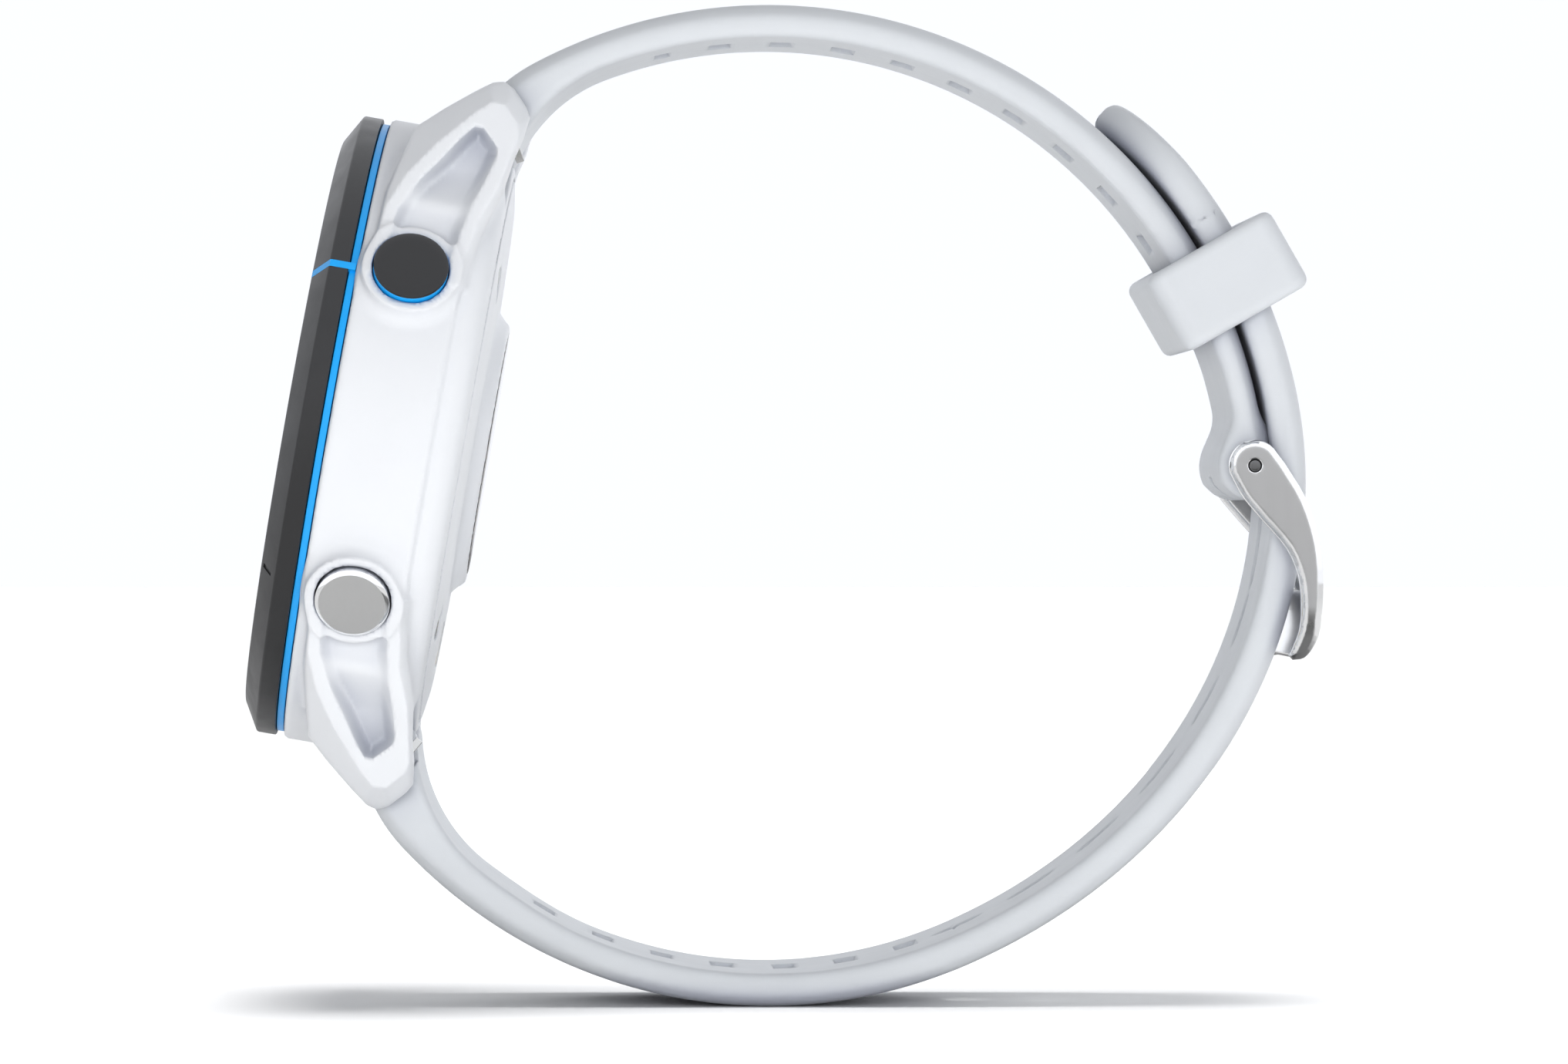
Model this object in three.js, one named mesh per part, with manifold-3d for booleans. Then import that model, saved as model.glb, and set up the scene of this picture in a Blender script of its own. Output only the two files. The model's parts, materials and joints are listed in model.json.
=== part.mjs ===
// GPS running watch, buckled into a closed loop: case assembly, buttons, electronics, strap and buckle.
// Units are millimetres. The row frame has +Z up; the 3 o'clock side of the case faces -Y.
// The origin is the centre of the flat sensor window on the back of the case.
// Inside the case group, +X is 3 o'clock, +Y is 12 o'clock and +Z is the way the display faces.

import * as THREE from 'three';
import { mergeVertices } from 'three/addons/utils/BufferGeometryUtils.js';
import Module from 'manifold-3d';

const wasm = await Module();
wasm.setup();

const toRadians = THREE.MathUtils.degToRad;

// ---------------------------------------------------------------- driving dimensions

const caseTilt = toRadians(9.94); // lean of the 12 o'clock direction towards the strap
const gap = 0.3;                                 // clearance kept between neighbouring pieces
const trimGap = 0.06;                            // clearance round small inlaid trim

// Case heights, measured from the sensor window's rear face towards the display
const bezelFront = 14.6;
const bezelCorner = 13.4;
const bezelRear = 12.0;
const shellTop = 11.35;
const creaseHeight = 3.8;
const coverRear = 1.08;
const coverTop = 2.55;
const ledgeBottom = 2.9;
const ledgeTop = 3.9;

// Case radii
const bezelRadius = 23.3;
const bezelFlatRadius = 21.2;
const lensRadius = 19.7;
const ringRadius = 22.95;
const shellRadius = 23.4;
const cavityRadius = 20.6;
const coverRadius = 20.4;
const ledgeRadius = 19.3;
const windowRadius = 9.1;
const boardRadius = 17.8;

// Buttons: angles are counted from 3 o'clock towards 12 o'clock
const buttonHeight = 7.55;
const buttonAngles = { start: 30, back: -30, light: 150, up: 180, down: 210 };
const capRadius = 2.72;
const capFace = 25.0;
const capBase = 23.5;
const bossRadius = 3.52;
const bossFace = 24.25;
const stemRadius = 1.0;
const stemEnd = 19.75;
const switchFace = 19.0;
const pressTravel = 0.6;

// Strap: concentric arcs about the loop centre (row frame, X and Z)
const loopCentre = new THREE.Vector2(20.76, -3.73);
const strapWidth = 21.8;
const upperInner = 34.38;
const upperOuter = 36.88;
const lowerInner = 34.5;
const lowerOuter = 37.0;
const tailOuter = 39.85;
const tailThickness = 2.6;
const holePitch = 6.9;
const holeSize = { length: 4.2, width: 2.2 };

// Lugs and spring bars (case group; height is Z, reach is the distance towards 12 or 6 o'clock)
const barHeight = 3.0;
const barReach = 24.6;
const barRadius = 0.75;
const barPinRadius = 0.42;
const leverLean = 1.05;  // radians between the release lever and the case axis
const lugInnerFace = strapWidth / 2 + 0.4;

// Buckle
const pivot = new THREE.Vector2(56.37, -0.87);
const buckleInnerHalf = 11.3;
const buckleOuterHalf = 12.9;
const buckleSwing = 8;   // degrees the frame can lift off the strap while buckled
const tongueSwing = 6;   // degrees the tongue can lift off the frame's bar

// Flat sides used for round shapes, by size
const segments = { large: 36, medium: 24, boss: 18, small: 12, tiny: 8 };

// ---------------------------------------------------------------- materials

const finish = (color, roughness, metalness) =>
  new THREE.MeshStandardMaterial({ color, roughness, metalness });
const whitePolymer = finish(0xe3e7eb, 0.55, 0);
const silicone = finish(0xdde0e4, 0.65, 0);
const blackPolymer = finish(0x323234, 0.45, 0);
const blackRubber = finish(0x1c1c1e, 0.8, 0);
const blueAccent = finish(0x1ea0f5, 0.4, 0);
const steel = finish(0xafafac, 0.3, 1);
const glass = finish(0x0b0c0e, 0.05, 0);
const screen = finish(0x101418, 0.2, 0);
const circuit = finish(0x14532d, 0.6, 0);
const foil = finish(0x9a9da0, 0.4, 0.6);
const greyPolymer = finish(0x8a8d90, 0.6, 0);
const gold = finish(0xc9a24a, 0.3, 1);

// ---------------------------------------------------------------- solids

/** Turn a closed three.js geometry into a solid, whichever way its faces were wound. */
function solid(geometry) {
  const bare = geometry.index ? geometry.toNonIndexed() : geometry.clone();
  bare.deleteAttribute('normal');
  bare.deleteAttribute('uv');
  const merged = mergeVertices(bare, 1e-4);
  const points = merged.attributes.position.array;
  const index = merged.index.array;
  const corners = [];
  const a = new THREE.Vector3();
  const b = new THREE.Vector3();
  const c = new THREE.Vector3();
  let volume = 0;
  for (let i = 0; i < index.length; i += 3) {
    const [p, q, r] = [index[i], index[i + 1], index[i + 2]];
    if (p === q || q === r || r === p) continue;
    corners.push([p, q, r]);
    a.fromArray(points, 3 * p);
    b.fromArray(points, 3 * q);
    c.fromArray(points, 3 * r);
    volume += a.dot(b.cross(c));
  }
  const wound = volume < 0 ? corners.map(([p, q, r]) => [p, r, q]) : corners;
  return new wasm.Manifold(new wasm.Mesh({
    numProp: 3,
    vertProperties: new Float32Array(points),
    triVerts: new Uint32Array(wound.flat()),
  }));
}

/** Name a solid, give it its material and hang it in a group. */
function piece(group, name, body, material) {
  const cut = body.getMesh();
  const geometry = new THREE.BufferGeometry();
  geometry.setAttribute('position', new THREE.BufferAttribute(new Float32Array(cut.vertProperties), 3));
  geometry.setIndex(new THREE.BufferAttribute(new Uint32Array(cut.triVerts), 1));
  geometry.computeVertexNormals();
  const mesh = new THREE.Mesh(geometry, material);
  mesh.name = name;
  group.add(mesh);
  return mesh;
}

/** Body of revolution about Z from a list of [radius, height]; the profile closes on itself. */
function turned(profile, sides = segments.large) {
  const points = [...profile, profile[0]].map(([r, z]) => new THREE.Vector2(r, z));
  return solid(new THREE.LatheGeometry(points, sides).rotateX(Math.PI / 2));
}

/** Flat disc or ring about Z, off centre if asked. */
function disc(radius, z0, z1, x = 0, y = 0, sides = segments.large) {
  const geometry = new THREE.CylinderGeometry(radius, radius, z1 - z0, sides);
  return solid(geometry.rotateX(Math.PI / 2).translate(x, y, (z0 + z1) / 2));
}

/** Box between two corners. */
function block(low, high) {
  const size = high.map((v, i) => v - low[i]);
  const centre = high.map((v, i) => (v + low[i]) / 2);
  return solid(new THREE.BoxGeometry(...size).translate(...centre));
}

/** Cylinder pointing outwards from the case axis at a button's angle. */
function radial(radius, from, to, degrees, sides = segments.small) {
  const geometry = new THREE.CylinderGeometry(radius, radius, to - from, sides);
  geometry.rotateZ(-Math.PI / 2).translate((from + to) / 2, 0, buttonHeight);
  return solid(geometry.rotateZ(toRadians(degrees)));
}

/** Rod along X. */
function rod(radius, x0, x1, y, z, sides = segments.tiny) {
  const geometry = new THREE.CylinderGeometry(radius, radius, x1 - x0, sides);
  return solid(geometry.rotateZ(Math.PI / 2).translate((x0 + x1) / 2, y, z));
}

/** Outline given as [height, reach], carried across the case along X between two planes. */
function acrossCase(outline, x0, x1) {
  const shape = new THREE.Shape(outline.map(([z, y]) => new THREE.Vector2(y, z)));
  const geometry = new THREE.ExtrudeGeometry(shape, { depth: x1 - x0, bevelEnabled: false });
  geometry.rotateX(Math.PI / 2).rotateZ(Math.PI / 2);
  return solid(geometry.translate(x0, 0, 0));
}

/** Outline given in X and Z of the row frame, carried along Y from y0 to y1. */
function alongWidth(outline, y0, y1, bevel = 0) {
  const shape = outline instanceof THREE.Shape ? outline : new THREE.Shape(outline);
  const geometry = new THREE.ExtrudeGeometry(shape, {
    depth: y1 - y0 - 2 * bevel,
    curveSegments: 10,
    bevelEnabled: bevel > 0,
    bevelThickness: bevel,
    bevelSize: bevel,
    bevelOffset: -bevel,
    bevelSegments: 1,
  });
  return solid(geometry.rotateX(Math.PI / 2).translate(0, y1 - bevel, 0));
}

/** Mirror a list of case outline points from the 12 o'clock end to the 6 o'clock end. */
const towards = (end, outline) => outline.map(([z, y]) => [z, end * y]);

// ---------------------------------------------------------------- groups

const watch = new THREE.Group();
const head = new THREE.Group();
const right = new THREE.Vector3(0, -1, 0);
const twelve = new THREE.Vector3(Math.sin(caseTilt), 0, Math.cos(caseTilt));
const facing = new THREE.Vector3(-Math.cos(caseTilt), 0, Math.sin(caseTilt));
head.quaternion.setFromRotationMatrix(new THREE.Matrix4().makeBasis(right, twelve, facing));
watch.add(head);

/** Row-frame point (X, Z) of a case point given as height and reach. */
const inRow = (height, reach) => new THREE.Vector2(
  -Math.cos(caseTilt) * height + Math.sin(caseTilt) * reach,
  Math.sin(caseTilt) * height + Math.cos(caseTilt) * reach,
);

// ---------------------------------------------------------------- display stack

const tickAngle = toRadians(buttonAngles.start);
const tickWidth = 0.56;
const tickDepth = 0.5;

/** Finger of the accent ring that crosses the bezel's side and chamfer. */
function tickFinger(grow) {
  const outer = bezelRadius + grow;
  const flat = bezelFlatRadius - 0.1;
  const outline = [
    [ringRadius - 0.6, shellTop + 0.1],
    [outer, shellTop + 0.1],
    [outer, bezelCorner + grow / 2],
    [bezelFlatRadius, bezelFront + grow],
    [flat, bezelFront + grow],
    [flat, bezelFront - tickDepth],
    [bezelRadius - tickDepth, bezelCorner - 0.3],
    [bezelRadius - tickDepth, bezelRear - trimGap],
  ].map(([r, z]) => new THREE.Vector2(r, z));
  const width = tickWidth + (grow > 0 ? 2 * trimGap : 0);
  const section = new THREE.Shape(outline);
  const geometry = new THREE.ExtrudeGeometry(section, { depth: width, bevelEnabled: false });
  geometry.translate(0, 0, -width / 2).rotateX(Math.PI / 2);
  return solid(geometry.rotateZ(tickAngle));
}

const bezelRing = turned([
  [bezelRadius, bezelRear], [bezelRadius, bezelCorner], [bezelFlatRadius, bezelFront],
  [lensRadius + 0.15, bezelFront], [lensRadius + 0.15, 12.9], [18.9, 12.9], [18.9, bezelRear],
]);
const tickSlot = tickFinger(1).subtract(disc(bezelRadius - tickDepth - trimGap, 0, bezelRear));
piece(head, 'bezel', bezelRing.subtract(tickSlot), blackPolymer);

const accentBand = turned([
  [20.9, shellTop + 0.07], [ringRadius, shellTop + 0.07],
  [ringRadius, bezelRear - trimGap], [20.9, bezelRear - trimGap],
]);
const fingerInSlot = tickFinger(0).subtract(
  disc(bezelRadius - tickDepth, bezelRear - trimGap, bezelCorner - 0.3));
piece(head, 'accent_ring', accentBand.add(fingerInSlot), blueAccent);

piece(head, 'lens', turned([
  [0, 13.32], [lensRadius, 13.32], [lensRadius, bezelFront - 0.15],
  [lensRadius - 0.15, bezelFront], [0, bezelFront],
]), glass);
const lensGasket = [[19.05, 12.96], [19.6, 12.96], [19.6, 13.26], [19.05, 13.26]];
piece(head, 'lens_gasket', turned(lensGasket, segments.medium), blackRubber);
piece(head, 'display_panel', disc(18.4, 11.3, 13.2), screen);

// ---------------------------------------------------------------- case shell

const lugSide = [
  [9.3, 22.6], [7.4, 24.35], [5.45, 25.96], [4.2, 26.9], [3.4, 27.15], [2.6, 26.7],
  [1.5, 25.5], [1.1, 24.8], [1.3, 23.2], [1.7, 21.6], [2.1, 19.0], [3.0, 15.5],
  [3.4, 11.5], [10.6, 11.5], [10.4, 17.5],
];
const rimSide = [
  [10.45, 12.5], [10.4, 14.5], [10.2, 16.4], [9.15, 19.0], [7.4, 21.6], [5.0, 24.4],
  [3.95, 25.35], [3.0, 25.3], [1.85, 24.05], [1.6, 23.1], [1.95, 21.2], [2.4, 19.25],
  [3.45, 16.5], [3.8, 14.0], [3.9, 12.5],
];
const pocketSide = [
  [9.8, 14.4], [9.3, 16.35], [8.15, 18.7], [6.85, 20.6], [5.6, 22.5], [4.9, 23.35],
  [4.25, 23.35], [3.05, 22.15], [2.9, 21.5], [3.25, 20.1], [4.0, 17.7], [4.5, 15.4], [4.6, 14.4],
];
const lugRoot = { x: 20.3, y: 11.9 };
const lugTip = { x: 13.8, y: 27.4 };
const rimProud = 0.45;
const pocketDepth = 1.3;

/** Everything inside a plane standing off the lug's side by a given amount, for one lug. */
function withinLugSide(side, end, proud) {
  const outline = [
    [side * lugInnerFace, end * 30],
    [side * lugInnerFace, end * 8],
    [side * (lugRoot.x + proud + 1.64), end * 8],
    [side * (lugRoot.x + proud), end * lugRoot.y],
    [side * (lugTip.x + proud), end * lugTip.y],
    [side * (lugTip.x + proud - 1.1), end * 30],
  ].map(([x, y]) => new THREE.Vector2(x, y));
  return solid(new THREE.ExtrudeGeometry(new THREE.Shape(outline), { depth: 12, bevelEnabled: false }));
}

/** One lug: tapered body, raised rim round its side, and the scooped pocket inside the rim. */
function lug(side, end) {
  const across = (outline) => acrossCase(towards(end, outline), side > 0 ? 11 : -26, side > 0 ? 26 : -11);
  const body = across(lugSide).intersect(withinLugSide(side, end, 0));
  const rim = across(rimSide).intersect(withinLugSide(side, end, rimProud));
  const scoop = across(pocketSide).subtract(withinLugSide(side, end, rimProud - pocketDepth));
  const core = disc(cavityRadius + 0.4, 0, 12);
  return { body: body.add(rim).subtract(core), scoop: scoop.subtract(core) };
}

let shell = turned([
  [shellRadius, shellTop], [shellRadius, creaseHeight], [23.25, 3.1], [22.75, 2.35], [21.9, 1.9],
  [20.7, 1.6], [20.7, ledgeBottom], [ledgeRadius, ledgeBottom], [ledgeRadius, ledgeTop],
  [cavityRadius, ledgeTop], [cavityRadius, shellTop],
]);

for (const side of [1, -1]) {
  for (const end of [1, -1]) {
    const { body, scoop } = lug(side, end);
    shell = shell.add(body).subtract(scoop);
  }
}

// The strap ends nest between the lugs, against a thinner stretch of wall
const nestRadius = 21.45;
const nestTop = 6.5;
for (const end of [1, -1]) {
  const [low, high] = end > 0 ? [15, 30] : [-30, -15];
  const nest = block([-lugInnerFace, low, -1], [lugInnerFace, high, nestTop]);
  shell = shell.subtract(nest.subtract(disc(nestRadius, -2, nestTop + 1)));
  shell = shell.subtract(rod(0.6, -13.2, 13.2, end * barReach, barHeight));
}

// Screw bosses inside the case
const screwCircle = 17.75;
const screwAngles = [45, 135, 225, 315];
const screwBoss = { radius: 1.7, hole: 0.75, top: 5.4 };
const webLength = 3.1;
const screwPlace = (degrees) => {
  const a = toRadians(degrees);
  return [screwCircle * Math.cos(a), screwCircle * Math.sin(a)];
};
for (const degrees of screwAngles) {
  const [x, y] = screwPlace(degrees);
  const web = new THREE.BoxGeometry(webLength, 2 * screwBoss.radius, screwBoss.top - ledgeBottom)
    .translate(screwCircle + webLength / 2, 0, (screwBoss.top + ledgeBottom) / 2)
    .rotateZ(toRadians(degrees));
  const post = disc(screwBoss.radius, ledgeBottom, screwBoss.top, x, y, segments.small);
  shell = shell.add(post).add(solid(web));
  shell = shell.subtract(disc(screwBoss.hole, ledgeBottom - 1, screwBoss.top - 0.4, x, y, segments.tiny));
}

// Button bosses with the bore for the stem and a counterbore that the cap sinks into
const counterbore = { radius: capRadius + 0.16, floor: capBase - pressTravel - 0.15 };
const sealBore = { radius: 1.75, floor: 21.3 };
for (const degrees of Object.values(buttonAngles)) {
  shell = shell.add(radial(bossRadius, cavityRadius + 0.4, bossFace, degrees, segments.boss));
  const sunk = radial(counterbore.radius, counterbore.floor, bossFace + 2, degrees, segments.boss);
  shell = shell.subtract(sunk);
  shell = shell.subtract(radial(sealBore.radius, sealBore.floor, counterbore.floor + 1, degrees));
  shell = shell.subtract(radial(stemRadius + 0.15, cavityRadius - 3, capBase, degrees));
}
piece(head, 'case_shell', shell, whitePolymer);

// ---------------------------------------------------------------- back of the case

const coverProfile = [
  [8.1, coverTop], [coverRadius, coverTop], [coverRadius, 1.56], [18.2, 1.22], [13.0, coverRear],
  [10.7, coverRear], [10.15, 0.62], [9.7, 0.06], [windowRadius + 0.12, 0.06],
  [windowRadius + 0.12, 0.95], [8.1, 0.95],
];
const screwRecess = { radius: 1.35, floor: 1.85 };
const connector = { x: 3.2, y: 1.6, centre: -14.6, rear: 1.25, front: 3.4, slack: 0.1 };
let cover = turned(coverProfile);
cover = cover.subtract(block(
  [-connector.x - connector.slack, connector.centre - connector.y - connector.slack, 0],
  [connector.x + connector.slack, connector.centre + connector.y + connector.slack, 4]));
for (const degrees of screwAngles) {
  const [x, y] = screwPlace(degrees);
  const recess = disc(screwRecess.radius, 0, screwRecess.floor, x, y, segments.small);
  const hole = disc(screwBoss.hole, 0, coverTop + 1, x, y, segments.tiny);
  cover = cover.subtract(recess).subtract(hole);
}
piece(head, 'back_cover', cover, whitePolymer);
const backGasket = [[19.55, 2.61], [20.15, 2.61], [20.15, 2.84], [19.55, 2.84]];
piece(head, 'back_gasket', turned(backGasket, segments.medium), blackRubber);
piece(head, 'sensor_window', turned([
  [0, 0], [windowRadius - 0.15, 0], [windowRadius, 0.15], [windowRadius, 0.85], [0, 0.85],
]), glass);

// One light source in the middle with four receivers round it
const opticHalf = 0.9;
const opticSpacing = 3.6;
let sensorBoard = disc(7.7, 1.5, 2.3);
for (const [i, j] of [[0, 0], [1, 0], [-1, 0], [0, 1], [0, -1]]) {
  const [x, y] = [opticSpacing * i, opticSpacing * j];
  const optic = block([x - opticHalf, y - opticHalf, 1.0], [x + opticHalf, y + opticHalf, 1.6]);
  sensorBoard = sensorBoard.add(optic);
}
piece(head, 'sensor_board', sensorBoard, circuit);

let port = block(
  [-connector.x, connector.centre - connector.y, connector.rear],
  [connector.x, connector.centre + connector.y, connector.front]);
port = port.subtract(block([-2.7, connector.centre - 1.1, 0], [2.7, connector.centre + 1.1, 2.1]));
const contact = { x: 0.28, y: 0.5, rear: 1.6, front: 2.2 };
for (const x of [-1.8, -0.6, 0.6, 1.8]) {
  port = port.add(block(
    [x - contact.x, connector.centre - contact.y, contact.rear],
    [x + contact.x, connector.centre + contact.y, contact.front]));
}
piece(head, 'charge_connector', port, gold);

const hexagon = 6;
screwAngles.forEach((degrees, i) => {
  const [x, y] = screwPlace(degrees);
  const drive = disc(0.55, 1.0, 1.55, x, y, hexagon);
  const screwHead = disc(1.2, 1.3, 1.8, x, y, segments.small);
  const shank = disc(0.6, 1.6, 4.8, x, y, segments.tiny);
  piece(head, `back_screw_${i + 1}`, screwHead.add(shank).subtract(drive), steel);
});

// ---------------------------------------------------------------- inside the case

// The antenna is a ring with a feed gap at 12 o'clock
const antennaSection = [[19.2, 11.0], [20.35, 11.0], [20.35, 11.8], [19.2, 11.8]];
const feedGap = block([-2, 15, 10], [2, 24, 13]);
piece(head, 'antenna', turned(antennaSection, segments.medium).subtract(feedGap), gold);

// The chassis carries the display and lets its ribbon cable through a slot
const ribbonSlot = block([-6, -17.5, 9], [6, -14.5, 12]);
piece(head, 'chassis', disc(20.2, 9.9, 10.8).subtract(ribbonSlot), greyPolymer);

const board = { rear: 8.4, front: 9.3 };
const processor = block([-6, -4, board.front - 0.1], [2, 4, board.front + 0.4]);
const memory = block([4, -3, board.front - 0.1], [9, 2, board.front + 0.3]);
const boardNotch = block([-3, 15.5, board.rear - 0.4], [3, 20, board.front + 0.7]);
const mainBoard = disc(boardRadius, board.rear, board.front).add(processor).add(memory);
piece(head, 'main_board', mainBoard.subtract(boardNotch), circuit);

const battery = { low: [-11.4, -8.8, 3.2], high: [9.4, 10.6, 8.1] };
const motor = { radius: 3.4, rear: 3.3, front: 7.6, x: 13.3, y: 4.5 };
const buzzer = { radius: 2.7, rear: 4.5, front: 7.9, x: 12.6, y: -5.2 };
const can = ({ radius, rear, front, x, y }) => disc(radius, rear, front, x, y, segments.boss);
piece(head, 'battery', block(battery.low, battery.high), foil);
piece(head, 'vibration_motor', can(motor), steel);
piece(head, 'buzzer', can(buzzer), greyPolymer);

// ---------------------------------------------------------------- buttons

// The start button's cap is thinner and sits on a core, which leaves room for its coloured collar
const startCapBase = 24.45;
const startCoreRadius = 1.6;
const switchBody = { depth: 1.3, width: 2.8, height: 1.9 };
for (const [name, degrees] of Object.entries(buttonAngles)) {
  const isStart = name === 'start';
  const cap = radial(capRadius - 0.12, capFace - 0.15, capFace, degrees, segments.boss)
    .add(radial(capRadius, isStart ? startCapBase : capBase, capFace - 0.12, degrees, segments.boss));
  const core = isStart
    ? radial(startCoreRadius, capBase - 0.05, startCapBase + 0.05, degrees)
    : radial(stemRadius, 23, 24, degrees);
  const button = cap.add(core).add(radial(stemRadius, stemEnd, capBase + 0.2, degrees));
  piece(head, `${name}_button`, button, isStart ? blackPolymer : steel);
  if (isStart) {
    const band = radial(capRadius, capBase, startCapBase - trimGap, degrees, segments.boss);
    const opening = radial(startCoreRadius + 0.1, 22, 26, degrees);
    piece(head, 'start_button_collar', band.subtract(opening), blueAccent);
  }
  const seal = radial(sealBore.radius - 0.06, sealBore.floor + 0.1, 22.2, degrees)
    .subtract(radial(stemRadius + 0.06, 20, 24, degrees));
  piece(head, `${name}_button_seal`, seal, blackRubber);
  const body = new THREE.BoxGeometry(switchBody.depth, switchBody.width, switchBody.height);
  body.translate(switchFace - 1.15, 0, buttonHeight - 0.2).rotateZ(toRadians(degrees));
  const dome = radial(0.8, switchFace - 0.7, switchFace, degrees, segments.tiny);
  piece(head, `${name}_switch`, solid(body).add(dome), greyPolymer);
}

// ---------------------------------------------------------------- spring bars

for (const [name, end] of [['upper', 1], ['lower', -1]]) {
  const y = end * barReach;
  // The tube holds the spring; its blind end sits in the far lug and the near end is open
  const tube = rod(barRadius, -10.6, 7.3, y, barHeight).add(rod(barPinRadius, -12.8, -10.5, y, barHeight));
  const bore = rod(0.55, 2.0, 9.0, y, barHeight);
  piece(head, `spring_bar_${name}`, tube.subtract(bore), steel);
  // The pin that slides in it carries the lever that a fingernail pulls
  const arm = new THREE.BoxGeometry(0.6, 0.6, 3.5).translate(9.5, 0, -1.75);
  arm.rotateX(end * -leverLean).translate(0, y, barHeight);
  const pin = rod(barPinRadius, 5.0, 12.8, y, barHeight).add(rod(barRadius, 9.1, 9.9, y, barHeight));
  piece(head, `quick_release_${name}`, pin.add(solid(arm)), steel);
}

// ---------------------------------------------------------------- strap

/** Row-frame point (X, Z) at a radius and an angle in degrees about the loop centre. */
const onLoop = (radius, angle) => new THREE.Vector2(
  loopCentre.x + radius * Math.cos(toRadians(angle)),
  loopCentre.y + radius * Math.sin(toRadians(angle)),
);
const ease = (s) => {
  const t = Math.min(Math.max(s, 0), 1);
  return t * t * (3 - 2 * t);
};

/** Points of an arc about the loop centre; the radius may change with the angle. */
function sweep(radiusAt, from, to, steps) {
  const points = [];
  for (let i = 0; i <= steps; i += 1) {
    const angle = from + ((to - from) * i) / steps;
    points.push(onLoop(radiusAt(angle), angle));
  }
  return points;
}

/** The strap's end between the lugs, from its outer to its inner side. */
const rootOutline = [[4.75, 25.4], [4.9, 24.2], [4.3, 22.9], [3.2, 21.95], [1.75, 20.9], [1.3, 21.4],
  [0.9, 23.2], [-0.35, 25.8]];

/** Room cut out of a strap's end for the case wall, the spring bar and the release lever. */
function rootClearance(end) {
  head.updateMatrix();
  const wallHeight = 15;
  const wall = new THREE.CylinderGeometry(nestRadius + gap, nestRadius + gap, wallHeight, segments.large);
  wall.rotateX(Math.PI / 2).translate(0, 0, wallHeight / 2 - 3);
  const bar = new THREE.CylinderGeometry(barRadius + 0.25, barRadius + 0.25, 24, segments.tiny);
  bar.rotateZ(Math.PI / 2).translate(0, end * barReach, barHeight);
  const lever = new THREE.BoxGeometry(5.0, 1.5, 5.0).translate(9.9, 0, -2.2);
  lever.rotateX(end * -leverLean).translate(0, end * barReach, barHeight);
  return [wall, bar, lever]
    .map((geometry) => solid(geometry.applyMatrix4(head.matrix)))
    .reduce((sum, body) => sum.add(body));
}

const halfWidth = strapWidth / 2;
const edgeBevel = 0.45;

// Buckle side: arc, waist, then the eye that wraps the buckle pin
const eyeRadius = 2.5;
const upperRoot = rootOutline.map(([z, y]) => inRow(z, y));
const eyePoints = [];
for (let i = 0; i <= 10; i += 1) {
  const angle = toRadians(185 + (i * 150) / 10);
  eyePoints.push(new THREE.Vector2(
    pivot.x + eyeRadius * Math.cos(angle), pivot.y + eyeRadius * Math.sin(angle)));
}
const upperStrapOutline = [
  ...upperRoot,
  ...sweep(() => upperInner, 109, 24, 16),
  onLoop(34.6, 18), onLoop(34.65, 14.5), onLoop(34.3, 11.5), onLoop(33.55, 8.2),
  ...eyePoints.filter((p) => p.distanceTo(loopCentre) < upperOuter - 0.1),
  ...sweep(() => upperOuter - 0.05, 1.2, 120, 24),
];
const tongueHalf = 1.0;
const tongueThickness = 0.9;
const tongueEyeRadius = 1.5;
const pinRadius = 0.6;
const tongueLine = [
  pivot, new THREE.Vector2(58.35, -3.7), new THREE.Vector2(60.0, -7.4),
  new THREE.Vector2(60.8, -10.0), new THREE.Vector2(60.85, -12.0),
];

/** Outline of a strip that follows a line with a constant half thickness and square ends. */
function strip(line, half) {
  const left = [];
  const right = [];
  line.forEach((p, i) => {
    const before = line[Math.max(i - 1, 0)];
    const after = line[Math.min(i + 1, line.length - 1)];
    const along = after.clone().sub(before).normalize();
    const normal = new THREE.Vector2(-along.y, along.x).multiplyScalar(half);
    left.push(p.clone().add(normal));
    right.unshift(p.clone().sub(normal));
  });
  return [...left, ...right];
}

/** Cylinder about the buckle pin's axis, from the middle of the width to both sides. */
const roundAtPin = (radius, half) => solid(
  new THREE.CylinderGeometry(radius, radius, 2 * half, segments.boss).translate(pivot.x, 0, pivot.y));
const pinBore = (radius) => roundAtPin(radius, 20);

/** Space that the tongue sweeps through as the frame and the tongue lift, with room round it. */
function tongueSweep() {
  let swept = roundAtPin(tongueEyeRadius + 0.05 + gap, tongueHalf + gap);
  for (let lift = 0; lift <= buckleSwing + tongueSwing; lift += 3.5) {
    const lifted = strip(tongueLine, tongueThickness / 2 + gap)
      .map((p) => p.clone().rotateAround(pivot, toRadians(lift)));
    swept = swept.add(alongWidth(lifted, -tongueHalf - gap, tongueHalf + gap));
  }
  return swept;
}

const tongueRoom = tongueSweep();
const upperStrap = alongWidth(upperStrapOutline, -halfWidth, halfWidth, edgeBevel)
  .subtract(rootClearance(1)).subtract(pinBore(pinRadius + 0.15)).subtract(tongueRoom);
piece(watch, 'strap_upper', upperStrap, silicone);

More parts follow.
